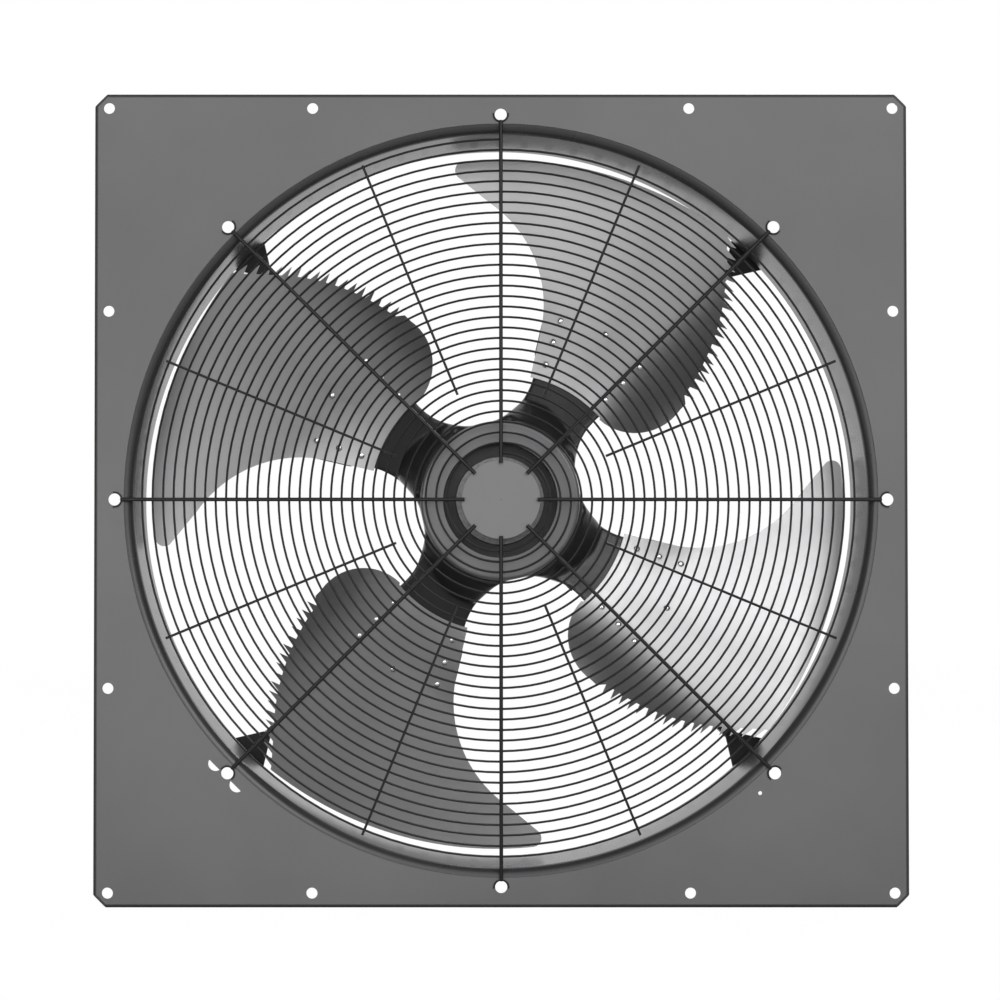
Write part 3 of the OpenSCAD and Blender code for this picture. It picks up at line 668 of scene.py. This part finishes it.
class Workshop:
    """Makes mesh pieces, dresses them and hands them to the frame."""

    def __init__(self, nodes: dict[str, bpy.types.Object]) -> None:
        """Starts with the CAD nodes' objects by name, and with no finishes built."""
        self.nodes = nodes
        self.finishes: dict[str, bpy.types.Material] = {}

    def material(self, finish: Finish) -> bpy.types.Material:
        """Builds a finish once and keeps it."""
        if finish.name not in self.finishes:
            self.finishes[finish.name] = finish.build()
        return self.finishes[finish.name]

    def dress(self, finish: Finish, names: Sequence[str]) -> None:
        """Gives CAD nodes a finish.

        Args:
            finish: The finish to build.
            names: Names of the nodes.
        """
        for name in names:
            for slot in self.nodes[name].material_slots:
                slot.material = self.material(finish)
            LOG.info("dressed %s with %s", name, finish.name)

    def _hand_over(self, made: bpy.types.Object, finish: Finish, body: str,
                   replaces: Sequence[str]) -> None:
        """Gives a new piece its finish and its place on the frame.

        Args:
            made: The piece.
            finish: Its finish.
            body: The CAD body that it rides on.
            replaces: CAD nodes that it stands for.
        """
        made.data.materials.clear()
        made.data.materials.append(self.material(finish))
        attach(made, body)
        if replaces:
            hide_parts(*replaces)
        LOG.info("built %s: %d faces on %s", made.name, len(made.data.polygons), body)

    def piece(self, name: str, body: str, finish: Finish, slot: str, build: MeshBuilder,
              replaces: Sequence[str] = ()) -> None:
        """Builds one mesh piece and fastens it to a body.

        Args:
            name: The piece's name.
            body: The CAD body that it rides on.
            finish: Its finish.
            slot: Not used.
            build: Function that fills the mesh.
            replaces: CAD nodes that it stands for.
        """
        sharp_from = math.radians(35.0)
        mesh = new_mesh(name, build, outward=True)
        mesh.set_sharp_from_angle(angle=sharp_from)
        for face in mesh.polygons:
            face.use_smooth = True
        self._hand_over(new_object(name, mesh), finish, body, replaces)

    def melted(self, name: str, node: str, body: str, finish: Finish, slot: str, voxel: float,
               rounds: int, add: MeshBuilder, cut: MeshBuilder) -> None:
        """Remakes a CAD solid with all its edges and inner corners flowing, as on a casting.

        Args:
            name: The piece's name.
            node: CAD node that is copied and replaced.
            body: The CAD body that it rides on.
            finish: Its finish.
            slot: Not used.
            voxel: Size of the new faces, in metres.
            rounds: Rounds of smoothing.
            add: Function that adds closed shapes, which grow together with the solid.
            cut: Function that builds closed shapes, which are cut away.
        """

        def whole(shape: Shape) -> None:
            """Copies the solid and adds to it."""
            shape.from_mesh(self.nodes[node].data)
            add(shape)

        raw = new_mesh(name, whole, outward=False)
        away = new_mesh(name + "_cut", cut, outward=True)
        cutter = new_object(away.name, away)
        made = new_object(name, raw)
        self._remesh(made, "new_faces", voxel)
        trim = made.modifiers.new("trim", "BOOLEAN")
        trim.operation = "DIFFERENCE"
        trim.solver = "EXACT"
        trim.object = cutter
        self._remesh(made, "even_faces", voxel)
        smooth = made.modifiers.new("flow", "SMOOTH")
        smooth.factor = 0.5
        smooth.iterations = rounds
        ready = made.evaluated_get(bpy.context.evaluated_depsgraph_get())
        final = bpy.data.meshes.new_from_object(ready)
        made.modifiers.clear()
        made.data = final
        bpy.data.objects.remove(cutter)
        for mesh in (away, raw):
            bpy.data.meshes.remove(mesh)
        self._hand_over(made, finish, body, [node])

    @staticmethod
    def _remesh(made: bpy.types.Object, name: str, voxel: float) -> None:
        """Adds a modifier that covers the form with even smooth faces of one size."""
        remesh = made.modifiers.new(name, "REMESH")
        remesh.mode = "VOXEL"
        remesh.voxel_size = voxel
        remesh.use_smooth_shade = True


def sweep(shape: Shape, path: Sequence[Vector], radius: float, sides: int) -> None:
    """Adds a round wire along a path, closed at both ends.

    Args:
        shape: Mesh that receives the wire.
        path: Points of its middle line.
        radius: Radius of the wire.
        sides: Sides of its section.
    """
    rings = []
    depth = Vector((0, 1, 0))
    for i, point in enumerate(path):
        ahead = path[min(i + 1, len(path) - 1)] - path[max(i - 1, 0)]
        across = ahead.cross(depth).normalized()
        up = across.cross(ahead).normalized()
        rings.append(
            [
                shape.verts.new(point + radius * (math.cos(a) * across + math.sin(a) * up))
                for a in (math.tau * k / sides for k in range(sides))
            ]
        )
    for first, second in zip(rings, rings[1:]):
        for k in range(sides):
            shape.faces.new((first[k], first[(k + 1) % sides], second[(k + 1) % sides], second[k]))
    shape.faces.new(rings[0])
    shape.faces.new(rings[-1])


def prism(shape: Shape, outline: Sequence[Vector], ends: Sequence[Pair]) -> None:
    """Adds a closed prism along the fan's axis.

    Args:
        shape: Mesh that receives the prism.
        outline: Points of the outline, of which X and Z are used.
        ends: Front and back depth at each point, in metres.
    """
    fronts = [shape.verts.new((p.x, front, p.z)) for p, (front, _) in zip(outline, ends)]
    backs = [shape.verts.new((p.x, back, p.z)) for p, (_, back) in zip(outline, ends)]
    count = len(outline)
    sides = [(fronts[k], fronts[(k + 1) % count], backs[(k + 1) % count], backs[k]) for k in range(count)]
    made = [shape.faces.new(corners) for corners in (fronts[::-1], backs, *sides)]
    bmesh.ops.recalc_face_normals(shape, faces=made)


def revolve(shape: Shape, profile: Profile, steps: int) -> None:
    """Turns a closed profile around the fan's axis.

    Args:
        shape: Mesh that receives the ring.
        profile: Radius and depth of each point, in metres, all with a radius above 0.
        steps: Steps around the axis.
    """
    rings = []
    for i in range(steps):
        angle = math.tau * i / steps
        rings.append([shape.verts.new((r * math.cos(angle), y, r * math.sin(angle))) for r, y in profile])
    count = len(profile)
    for i in range(steps):
        first, second = rings[i], rings[(i + 1) % steps]
        for k in range(count):
            shape.faces.new((first[k], first[(k + 1) % count], second[(k + 1) % count], second[k]))


def rounded(corners: Sequence[Point]) -> Profile:
    """Rounds the corners of a closed profile.

    Args:
        corners: Radius, depth and rounding of each corner.

    Returns:
        The profile's points.
    """
    steps = 5
    points = []
    count = len(corners)
    for i, (x, y, r) in enumerate(corners):
        here = Vector((x, y))
        if r <= 0:
            points.append((x, y))
            continue
        back = (Vector(corners[i - 1][:2]) - here).normalized()
        ahead = (Vector(corners[(i + 1) % count][:2]) - here).normalized()
        start = here + back * r
        end = here + ahead * r
        for k in range(steps + 1):
            t = k / steps
            point = (1 - t) ** 2 * start + 2 * t * (1 - t) * here + t * t * end
            points.append((point.x, point.y))
    return points


def pressed_disc(shape: Shape, radius: float, depths: Pair,
                 lips: Pair) -> None:
    """Adds a thin disc around the fan's axis, with a rounded edge.

    Args:
        shape: Mesh that receives the disc.
        radius: Its radius, in metres.
        depths: Depth of its front and of its back, in metres.
        lips: Rounding of its edge at the front and at the back, in metres.
    """
    pinhole = 0.5 * MM
    steps = 96
    front, back = depths
    front_lip, back_lip = lips
    corners = [
        (pinhole, front, 0.0),
        (radius, front, front_lip),
        (radius, back, back_lip),
        (pinhole, back, 0.0),
    ]
    revolve(shape, rounded(corners), steps)


def polar(radius: float, angle: float, depth: float) -> Vector:
    """Point at a radius and an angle, counterclockwise from the right as the viewer sees it.

    Args:
        radius: Distance from the fan axis, in metres.
        angle: Angle in degrees.
        depth: Distance behind the plate's face, in metres.

    Returns:
        The point in the shared frame.
    """
    turn = math.radians(angle)
    return Vector((radius * math.cos(turn), depth, radius * math.sin(turn)))


@dataclass
class WallPlate:
    """The square sheet and the nozzle ring behind it."""

    workshop: Workshop
    lip_centre: Pair = (497 * MM, 15.5 * MM)
    lip_radius: float = 13.5 * MM
    flare_centre: Pair = (503 * MM, 121 * MM)
    flare_radius: float = 24 * MM
    turn_step: int = 7
    turn_end: int = 84
    skin: float = 0.25 * MM
    coat_steps: int = 360
    # The plate's coat carries painted shade in a band along its bent edge.
    sheet: Finish = PowderCoat("plate_grey", (0.132, 0.132, 0.134), roughness=0.50, cloud=0.10,
                               peel=0.05 * MM, metallic=0.12, painted_shade_start=529.8 * MM, corner=518 * MM)
    ring: Finish = PowderCoat("nozzle_grey", (0.05, 0.05, 0.052), roughness=0.27, cloud=0.08,
                              peel=0.04 * MM, metallic=0.3)

    def build(self) -> None:
        """Dresses the plate and the nozzle, and lays a smooth coat on the nozzle's inside."""
        self.workshop.dress(self.sheet, ["wall_plate"])
        self.workshop.dress(self.ring, ["nozzle_ring"])
        self.workshop.piece("nozzle_coat", FRAME_BODY, self.ring, "nozzle_paint", self._coat)

    def _coat(self, shape: Shape) -> None:
        """Adds the coat that follows lip, wall and flare."""
        outer_side = self._wall_line(self.skin)
        inner_side = self._wall_line(-self.skin)
        revolve(shape, outer_side + inner_side[::-1], self.coat_steps)

    def _wall_line(self, grow: float) -> list[Pair]:
        """The line that follows lip, wall and flare.

        Args:
            grow: What the radii of lip and flare are larger by, in metres.

        Returns:
            Radius and depth of its points, from the front to the back.
        """
        turns = [math.radians(angle) for angle in range(0, self.turn_end + 1, self.turn_step)]
        line = []
        for turn in reversed(turns):
            radius = self.lip_radius + grow
            line.append((self.lip_centre[0] - radius * math.cos(turn),
                         self.lip_centre[1] - radius * math.sin(turn)))
        for turn in turns:
            radius = self.flare_radius + grow
            line.append((self.flare_centre[0] - radius * math.cos(turn),
                         self.flare_centre[1] + radius * math.sin(turn)))
        return line


@dataclass
class WireGuard:
    """Spiral wire, long and short spokes with their hooks, weld beads and the centre disc."""

    workshop: Workshop
    outer_radius: float = 478.65 * MM
    pitch: float = 13.8 * MM
    start_angle: float = 90.0
    turns: float = 30.0
    wire: float = 1.5 * MM
    depth: float = 1.3 * MM
    spoke: float = 2.5 * MM
    spoke_depth: float = -2.8 * MM
    spoke_start: float = 48 * MM
    spoke_taper: float = 9 * MM
    spoke_end_depth: float = -1.26 * MM
    short_spoke: float = 1.7 * MM
    short_depth: float = -2.0 * MM
    short_start: float = 149 * MM
    short_end_gap: float = 2.4 * MM
    hole_radius: float = 508 * MM
    hook_radius: float = 9.3 * MM
    hook_wire: float = 1.2 * MM
    hook_depth: float = -1.224 * MM
    hook_sweep: float = 200.0
    hook_steps: int = 24
    bead_size: Point = (1.9 * MM, 1.0 * MM, 1.9 * MM)
    bead_depth: float = -0.4 * MM
    disc_radius: float = 52 * MM
    disc_depths: Pair = (-0.2 * MM, 1.8 * MM)
    disc_lips: Pair = (0.9 * MM, 0.45 * MM)
    wire_sides: int = 8
    thin_sides: int = 10
    spoke_sides: int = 12
    spoke_count: int = 8
    spoke_step: float = 45.0
    coat: Finish = PowderCoat("guard_black", (0.013, 0.013, 0.0135), roughness=0.40, cloud=0.15,
                              peel=0.03 * MM, shine=0.3)
    disc_coat: Finish = PowderCoat("disc_grey", (0.19, 0.19, 0.192), roughness=0.5, cloud=0.06,
                                   peel=0.04 * MM)

    def build(self) -> None:
        """Builds every piece of the guard."""
        for name, fill, replaces in (
            ("guard_spiral_wire", self._spiral, ["guard_spiral"]),
            ("guard_long_spoke_wires", self._long_spokes, ["guard_long_spokes"]),
            ("guard_short_spoke_wires", self._short_spokes, ["guard_short_spokes"]),
            ("guard_weld_beads", self._weld_beads, []),
        ):
            self.workshop.piece(name, FRAME_BODY, self.coat, "guard_wire", fill, replaces)
        self.workshop.piece("guard_disc", FRAME_BODY, self.disc_coat, "disc_metal", self._disc,
                            ["guard_centre_disc"])

    def _radius_at(self, angle: float) -> float:
        """Radius of the spiral's middle line at an angle in degrees that keeps growing."""
        return self.outer_radius - self.pitch * angle / 360.0

    def _spiral(self, shape: Shape) -> None:
        """Adds the spiral wire, with longer steps where it turns more tightly."""
        step = 6.0
        step_radius = 60 * MM
        path = []
        angle = self.start_angle
        end = self.start_angle + 360.0 * self.turns
        while angle < end:
            radius = self._radius_at(angle)
            path.append(polar(radius, angle, self.depth))
            angle += max(step / 2.0, step * math.sqrt(step_radius / radius))
        path.append(polar(self._radius_at(end), end, self.depth))
        sweep(shape, path, self.wire, self.wire_sides)

    def _long_spokes(self, shape: Shape) -> None:
        """Adds the long spokes and their hooks."""
        hook = self.hole_radius - self.hook_radius
        for k in range(self.spoke_count):
            angle = self.spoke_step * k
            line = (
                (self.spoke_start, self.spoke_depth),
                (self.spoke_start + 1 * MM, self.spoke_depth),
                (hook - self.spoke_taper, self.spoke_depth),
                (hook + self.hook_wire, self.spoke_end_depth),
            )
            path = [polar(radius, angle, depth) for radius, depth in line]
            sweep(shape, path, self.spoke, self.spoke_sides)
            centre = polar(self.hole_radius, angle, 0.0)
            bend = []
            for i in range(self.hook_steps + 1):
                turn = angle + 180.0 + self.hook_sweep * (i / self.hook_steps - 0.5)
                bend.append(centre + polar(self.hook_radius, turn, self.hook_depth))
            sweep(shape, bend, self.hook_wire, self.thin_sides)

    def _short_spokes(self, shape: Shape) -> None:
        """Adds the short spokes, midway between the long ones."""
        end = self.outer_radius - self.short_end_gap
        for k in range(self.spoke_count):
            angle = self.spoke_step * (k + 0.5)
            ends = [polar(radius, angle, self.short_depth) for radius in (self.short_start, end)]
            sweep(shape, ends, self.short_spoke, self.thin_sides)

    def _weld_beads(self, shape: Shape) -> None:
        """Adds a small bead wherever a spoke crosses the spiral."""
        size = Matrix.Diagonal((*self.bead_size, 1.0))
        for k in range(2 * self.spoke_count):
            start = self.short_start if k % 2 else self.spoke_start
            turn = self.spoke_step / 2.0 * k
            if turn < self.start_angle:
                turn += 360.0
            while turn < self.start_angle + 360.0 * self.turns:
                radius = self._radius_at(turn)
                if radius > start:
                    place = Matrix.Translation(polar(radius, turn, self.bead_depth))
                    bmesh.ops.create_icosphere(shape, subdivisions=1, radius=1.0, matrix=place @ size)
                turn += 360.0

    def _disc(self, shape: Shape) -> None:
        """Adds the plain centre disc with its rounded edge."""
        pressed_disc(shape, self.disc_radius, self.disc_depths, self.disc_lips)


@dataclass
class Impeller:
    """Blades, rivets, hub star, rotor cap and what turns with them."""

    workshop: Workshop
    arm_count: int = 4
    arm_step: float = 90.0
    arm_angle: float = 57.5
    hub_radius: float = 106 * MM
    hub_overlap: float = 6 * MM
    web_end: float = 46.0
    web_sweep: float = 25.5
    web_height: float = 31 * MM
    web_front: float = 47 * MM
    web_back: float = 94 * MM
    web_level: float = 5 * MM
    web_slope: float = 1.28
    web_steps: int = 9
    tip_angle: float = 19.0
    tip_width: float = 30.0
    tip_radius: float = 188 * MM
    tip_reach: float = 1.6
    tip_back: float = 200 * MM
    casting_voxel: float = 1.8 * MM
    casting_rounds: int = 20
    dust_cap_radius: float = 59 * MM
    dust_cap_depths: Pair = (44 * MM, 46.5 * MM)
    dust_cap_lips: Pair = (1.5 * MM, 0.0)
    blade_colour: Colour = (0.44, 0.44, 0.444)
    rivet_metal: Finish = PlatedSteel("rivet_bright", (0.95, 0.95, 0.96), (0.90, 0.90, 0.92),
                                      roughness=0.16)
    star_coat: Finish = GlossCoat("star_black", (0.018, 0.018, 0.019), roughness=0.30, coat=0.2, shine=0.4)
    cap_coat: Finish = PowderCoat("rotor_grey", (0.15, 0.15, 0.153), roughness=0.3, cloud=0.06,
                                  peel=0.03 * MM, metallic=0.3)
    dust_cap_zinc: Finish = PlatedSteel("dust_cap_zinc", (0.17, 0.17, 0.172), (0.13, 0.13, 0.132),
                                        roughness=0.45)

    def build(self) -> None:
        """Dresses the turning parts and makes the flowing casting and the dust cap."""
        shop = self.workshop
        for k in range(self.arm_count):
            rear = tuple(polar(1.0, self.arm_step * (k - 0.5), 0.0))
            outward = tuple(polar(1.0, self.arm_step * (k + 0.5), 0.0))
            metal = RolledMetal(f"blade_sheet_{k + 1}", self.blade_colour, roughness=0.34, metallic=0.92,
                                rear=rear, outward=outward)
            shop.dress(metal, [f"blade_{k + 1}"])
        shop.dress(self.rivet_metal, ["blade_rivets"])
        shop.melted("hub_star_casting", "hub_star", IMPELLER_BODY, self.star_coat, "hub_black",
                    self.casting_voxel, self.casting_rounds, self._webs, self._tips)
        shop.dress(self.cap_coat, ["rotor_cap"])
        shop.piece("rotor_dust_cap", IMPELLER_BODY, self.dust_cap_zinc, "rotor_grey", self._dust_cap)

    def _webs(self, shape: Shape) -> None:
        """Adds the curved webs that lead from the hub's ring into both sides of each arm."""
        for k in range(self.arm_count):
            for side in (-1, 1):
                middle = self.arm_angle + self.arm_step * k
                outline = []
                ends = []
                for i in range(self.web_steps + 1):
                    share = i / self.web_steps
                    rise = self.web_height * share ** 3
                    angle = middle + side * (self.web_end - self.web_sweep * share)
                    outline.append(polar(self.hub_radius + rise, angle, 0.0))
                    slope = max(0.0, rise - self.web_level) * self.web_slope
                    ends.append((self.web_front + slope, self.web_back))
                for angle in (self.web_end - self.web_sweep, self.web_end):
                    outline.append(polar(self.hub_radius - self.hub_overlap, middle + side * angle, 0.0))
                    ends.append((self.web_front, self.web_back))
                prism(shape, outline, ends)

    def _tips(self, shape: Shape) -> None:
        """Builds what is cut off each arm, so that its end stays behind the blade."""
        near = self.tip_radius
        far = self.tip_radius * self.tip_reach
        for k in range(self.arm_count):
            start = self.arm_angle + self.arm_step * k + self.tip_angle
            end = start + self.tip_width
            corners = ((near, start), (far, start), (far, end), (near, end))
            outline = [polar(radius, angle, 0.0) for radius, angle in corners]
            prism(shape, outline, [(0.0, self.tip_back)] * len(outline))

    def _dust_cap(self, shape: Shape) -> None:
        """Adds the pressed cap over the front bearing."""
        pressed_disc(shape, self.dust_cap_radius, self.dust_cap_depths, self.dust_cap_lips)


@dataclass
class Motor:
    """Rotor cup, bearings and stator."""

    workshop: Workshop

    def build(self) -> None:
        """Dresses the motor's parts."""
        shop = self.workshop
        ground = PlatedSteel("ground_steel", (0.62, 0.62, 0.63), (0.55, 0.55, 0.56), roughness=0.2)
        shop.dress(CastMetal("rotor_casting", (0.03, 0.03, 0.032), 0.45, 0.4), ["rotor_cup"])
        shop.dress(CastMetal("bush_casting", (0.55, 0.55, 0.56)), ["stator_bush"])
        shop.dress(CastMetal("magnet_grey", (0.12, 0.12, 0.13), 0.4), ["rotor_magnets"])
        shop.dress(StackedSheet("core_sheets", (0.30, 0.30, 0.31)), ["stator_core"])
        shop.dress(WoundWire("coil_copper", (0.60, 0.26, 0.11)), ["stator_coils"])
        shop.dress(ground, ["rotor_shaft", "shaft_ring", "bearing_spring"])
        for end in ("front", "rear"):
            shop.dress(ground, [f"{end}_inner_race", f"{end}_outer_race", f"{end}_ball_set"])


@dataclass
class Supports:
    """Struts, motor plate and the fasteners that hold them."""

    workshop: Workshop

    def build(self) -> None:
        """Dresses the supports."""
        coat = PowderCoat("strut_black", (0.012, 0.012, 0.013), roughness=0.42, cloud=0.2, peel=0.06 * MM,
                          shine=0.3)
        zinc = PlatedSteel("zinc_plate", (0.66, 0.65, 0.60), (0.58, 0.60, 0.66), roughness=0.3)
        self.workshop.dress(coat, [f"strut_{k}" for k in range(1, 5)] + ["motor_plate"])
        self.workshop.dress(zinc, ["rim_bolts", "rim_nuts", "strut_bolts", "strut_nuts", "motor_bolts",
                                   "hub_screws", "cover_screws"])


@dataclass
class Electronics:
    """Housing with its board, seal, cover and glands."""

    workshop: Workshop

    def build(self) -> None:
        """Dresses the electronics housing."""
        for finish, names in (
            (CastMetal("housing_casting", (0.50, 0.50, 0.51), 0.48), ["electronics_housing"]),
            (CircuitBoard("board_green"), ["control_board"]),
            (MouldedPlastic("can_sleeve", (0.03, 0.03, 0.035), 0.3), ["board_capacitors"]),
            (MouldedPlastic("seal_rubber", (0.02, 0.02, 0.02), 0.75), ["housing_seal"]),
            (MouldedPlastic("cover_plastic", (0.03, 0.03, 0.032), 0.5), ["housing_cover"]),
            (MouldedPlastic("gland_plastic", (0.025, 0.025, 0.027), 0.45), ["power_gland", "signal_gland"]),
        ):
            self.workshop.dress(finish, names)


@dataclass(frozen=True)
class SoftLamp:
    """A square lamp with a soft face."""

    name: str
    place: Point
    aim: Point
    size: float
    watts: float

    def hang(self) -> None:
        """Puts the lamp into the scene, turned to its aim."""
        data = bpy.data.lights.new(self.name, "AREA")
        data.shape = "SQUARE"
        data.size = self.size
        data.energy = self.watts
        lamp = new_object(self.name, data)
        lamp.location = self.place
        lamp.rotation_euler = (Vector(self.aim) - Vector(self.place)).to_track_quat("-Z", "Y").to_euler()


@dataclass
class Studio:
    """Floor, lamps, world and camera."""

    workshop: Workshop
    floor_height: float = -535 * MM
    floor_half_width: float = 14.0
    floor_light: float = 1.04
    floor_seen: float = 0.94
    floor_mirrored: float = 0.9
    floor_fade: Pair = (0.3, 1.5)
    backdrop_edge: Pair = (-0.05, 0.2)
    camera_place: Point = (-0.102, -3.5, -0.1365)
    pitch: float = 1.27
    focal_pixels: float = 2665.0
    centre_pixel: Pair = (501.0, 499.5)
    picture: float = 1000.0
    sensor: float = 36.0
    backwards: Point = (0.0, 1.0, 0.0)
    glow_direction: Point = (0.12, -0.96, 0.22)
    glow_edge: float = 0.57
    glow_core: float = 0.85
    glow_level: float = 1.3
    side_level: float = 0.12
    back_level: float = 0.25
    lamps: tuple[SoftLamp, ...] = (
        SoftLamp("key_lamp", (3.0, -5.8, 2.6), (0.0, 0.0, 0.0), 3.2, 100.0),
        SoftLamp("front_lamp", (-1.7, -4.5, -0.1), (0.0, 0.0, 0.0), 3.6, 56.0),
        SoftLamp("floor_lamp", (-1.3, -2.4, 0.4), (-1.3, -2.4, -0.5), 1.4, 14.0),
        SoftLamp("back_lamp", (1.5, 3.0, 2.6), (0.0, 0.0, 0.0), 2.0, 60.0),
    )

    def build(self) -> None:
        """Makes the whole studio."""
        self._floor()
        self._world()
        for lamp in self.lamps:
            lamp.hang()
        self._camera()
        bpy.context.scene.view_settings.view_transform = "Standard"

    def _floor(self) -> None:
        """Adds the pale floor, white to the camera but for the object's shadow."""
        graph = FinishGraph("pale_floor")
        clouds = graph.noise(scale=1.5, detail=3.0)
        pale = graph.blend(tinted(WHITE, 0.60), tinted(WHITE, 0.66), clouds)
        matte = graph.node("ShaderNodeBsdfDiffuse", {}, {"Color": pale})
        behind = graph.towards(self.backwards).over(*self.floor_fade)
        mirrored = graph.ray(Ray.GLOSSY) * behind * self.floor_mirrored
        share = graph.ray(Ray.CAMERA) * self.floor_seen + mirrored
        light = graph.light("ShaderNodeEmission", self.floor_light)
        finish = graph.either(matte.outputs[0], light, share, "ShaderNodeOutputMaterial")

        def grid(shape: Shape) -> None:
            """Adds the floor's flat faces."""
            bmesh.ops.create_grid(shape, x_segments=8, y_segments=8, size=self.floor_half_width)

        floor = new_object("floor", new_mesh("floor", grid, outward=False))
        floor.data.materials.append(finish)
        floor.location = (0.0, 0.0, self.floor_height)

    def _world(self) -> None:
        """Sets the world: a soft glow in front, dim sides and a white backdrop behind the fan."""
        graph = FinishGraph("studio_air", world=True)
        glow = graph.towards(self.glow_direction).over(self.glow_edge, self.glow_core)
        behind = graph.towards(self.backwards).over(*self.backdrop_edge)
        level = glow * (self.glow_level - self.side_level) + self.side_level + behind * self.back_level
        mirrored = (graph.ray(Ray.GLOSSY) + graph.ray(Ray.TRANSMISSION)) * behind
        share = (graph.ray(Ray.CAMERA) + mirrored).over(0.0, 1.0)
        soft = graph.light("ShaderNodeBackground", level)
        white = graph.light("ShaderNodeBackground", 1.0)
        bpy.context.scene.world = graph.either(soft, white, share, "ShaderNodeOutputWorld")

    def _camera(self) -> None:
        """Adds the camera at the photograph's place, level but for a slight pitch."""
        data = bpy.data.cameras.new("view_camera")
        data.sensor_width = self.sensor
        data.lens = self.focal_pixels / self.picture * self.sensor
        tilt = math.radians(self.pitch)
        to_fan = -Vector(self.camera_place)
        ahead = to_fan.y * math.cos(tilt) + to_fan.z * math.sin(tilt)
        above = -to_fan.y * math.sin(tilt) + to_fan.z * math.cos(tilt)
        half = self.picture / 2
        data.shift_x = (half + self.focal_pixels * to_fan.x / ahead - self.centre_pixel[0]) / self.picture
        data.shift_y = (self.centre_pixel[1] - half + self.focal_pixels * above / ahead) / self.picture
        data.clip_end = 100.0
        camera = new_object("view_camera", data)
        camera.location = self.camera_place
        camera.rotation_euler = (math.radians(90.0) + tilt, 0.0, 0.0)
        bpy.context.scene.camera = camera


def main() -> None:
    """Dresses the fan and sets the studio."""
    logging.basicConfig(level=logging.INFO, format="%(name)s: %(message)s")
    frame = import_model()
    workshop = Workshop(frame["nodes"])
    for assembly in (WallPlate, WireGuard, Impeller, Motor, Supports, Electronics, Studio):
        assembly(workshop).build()


if __name__ == "__main__":
    main()
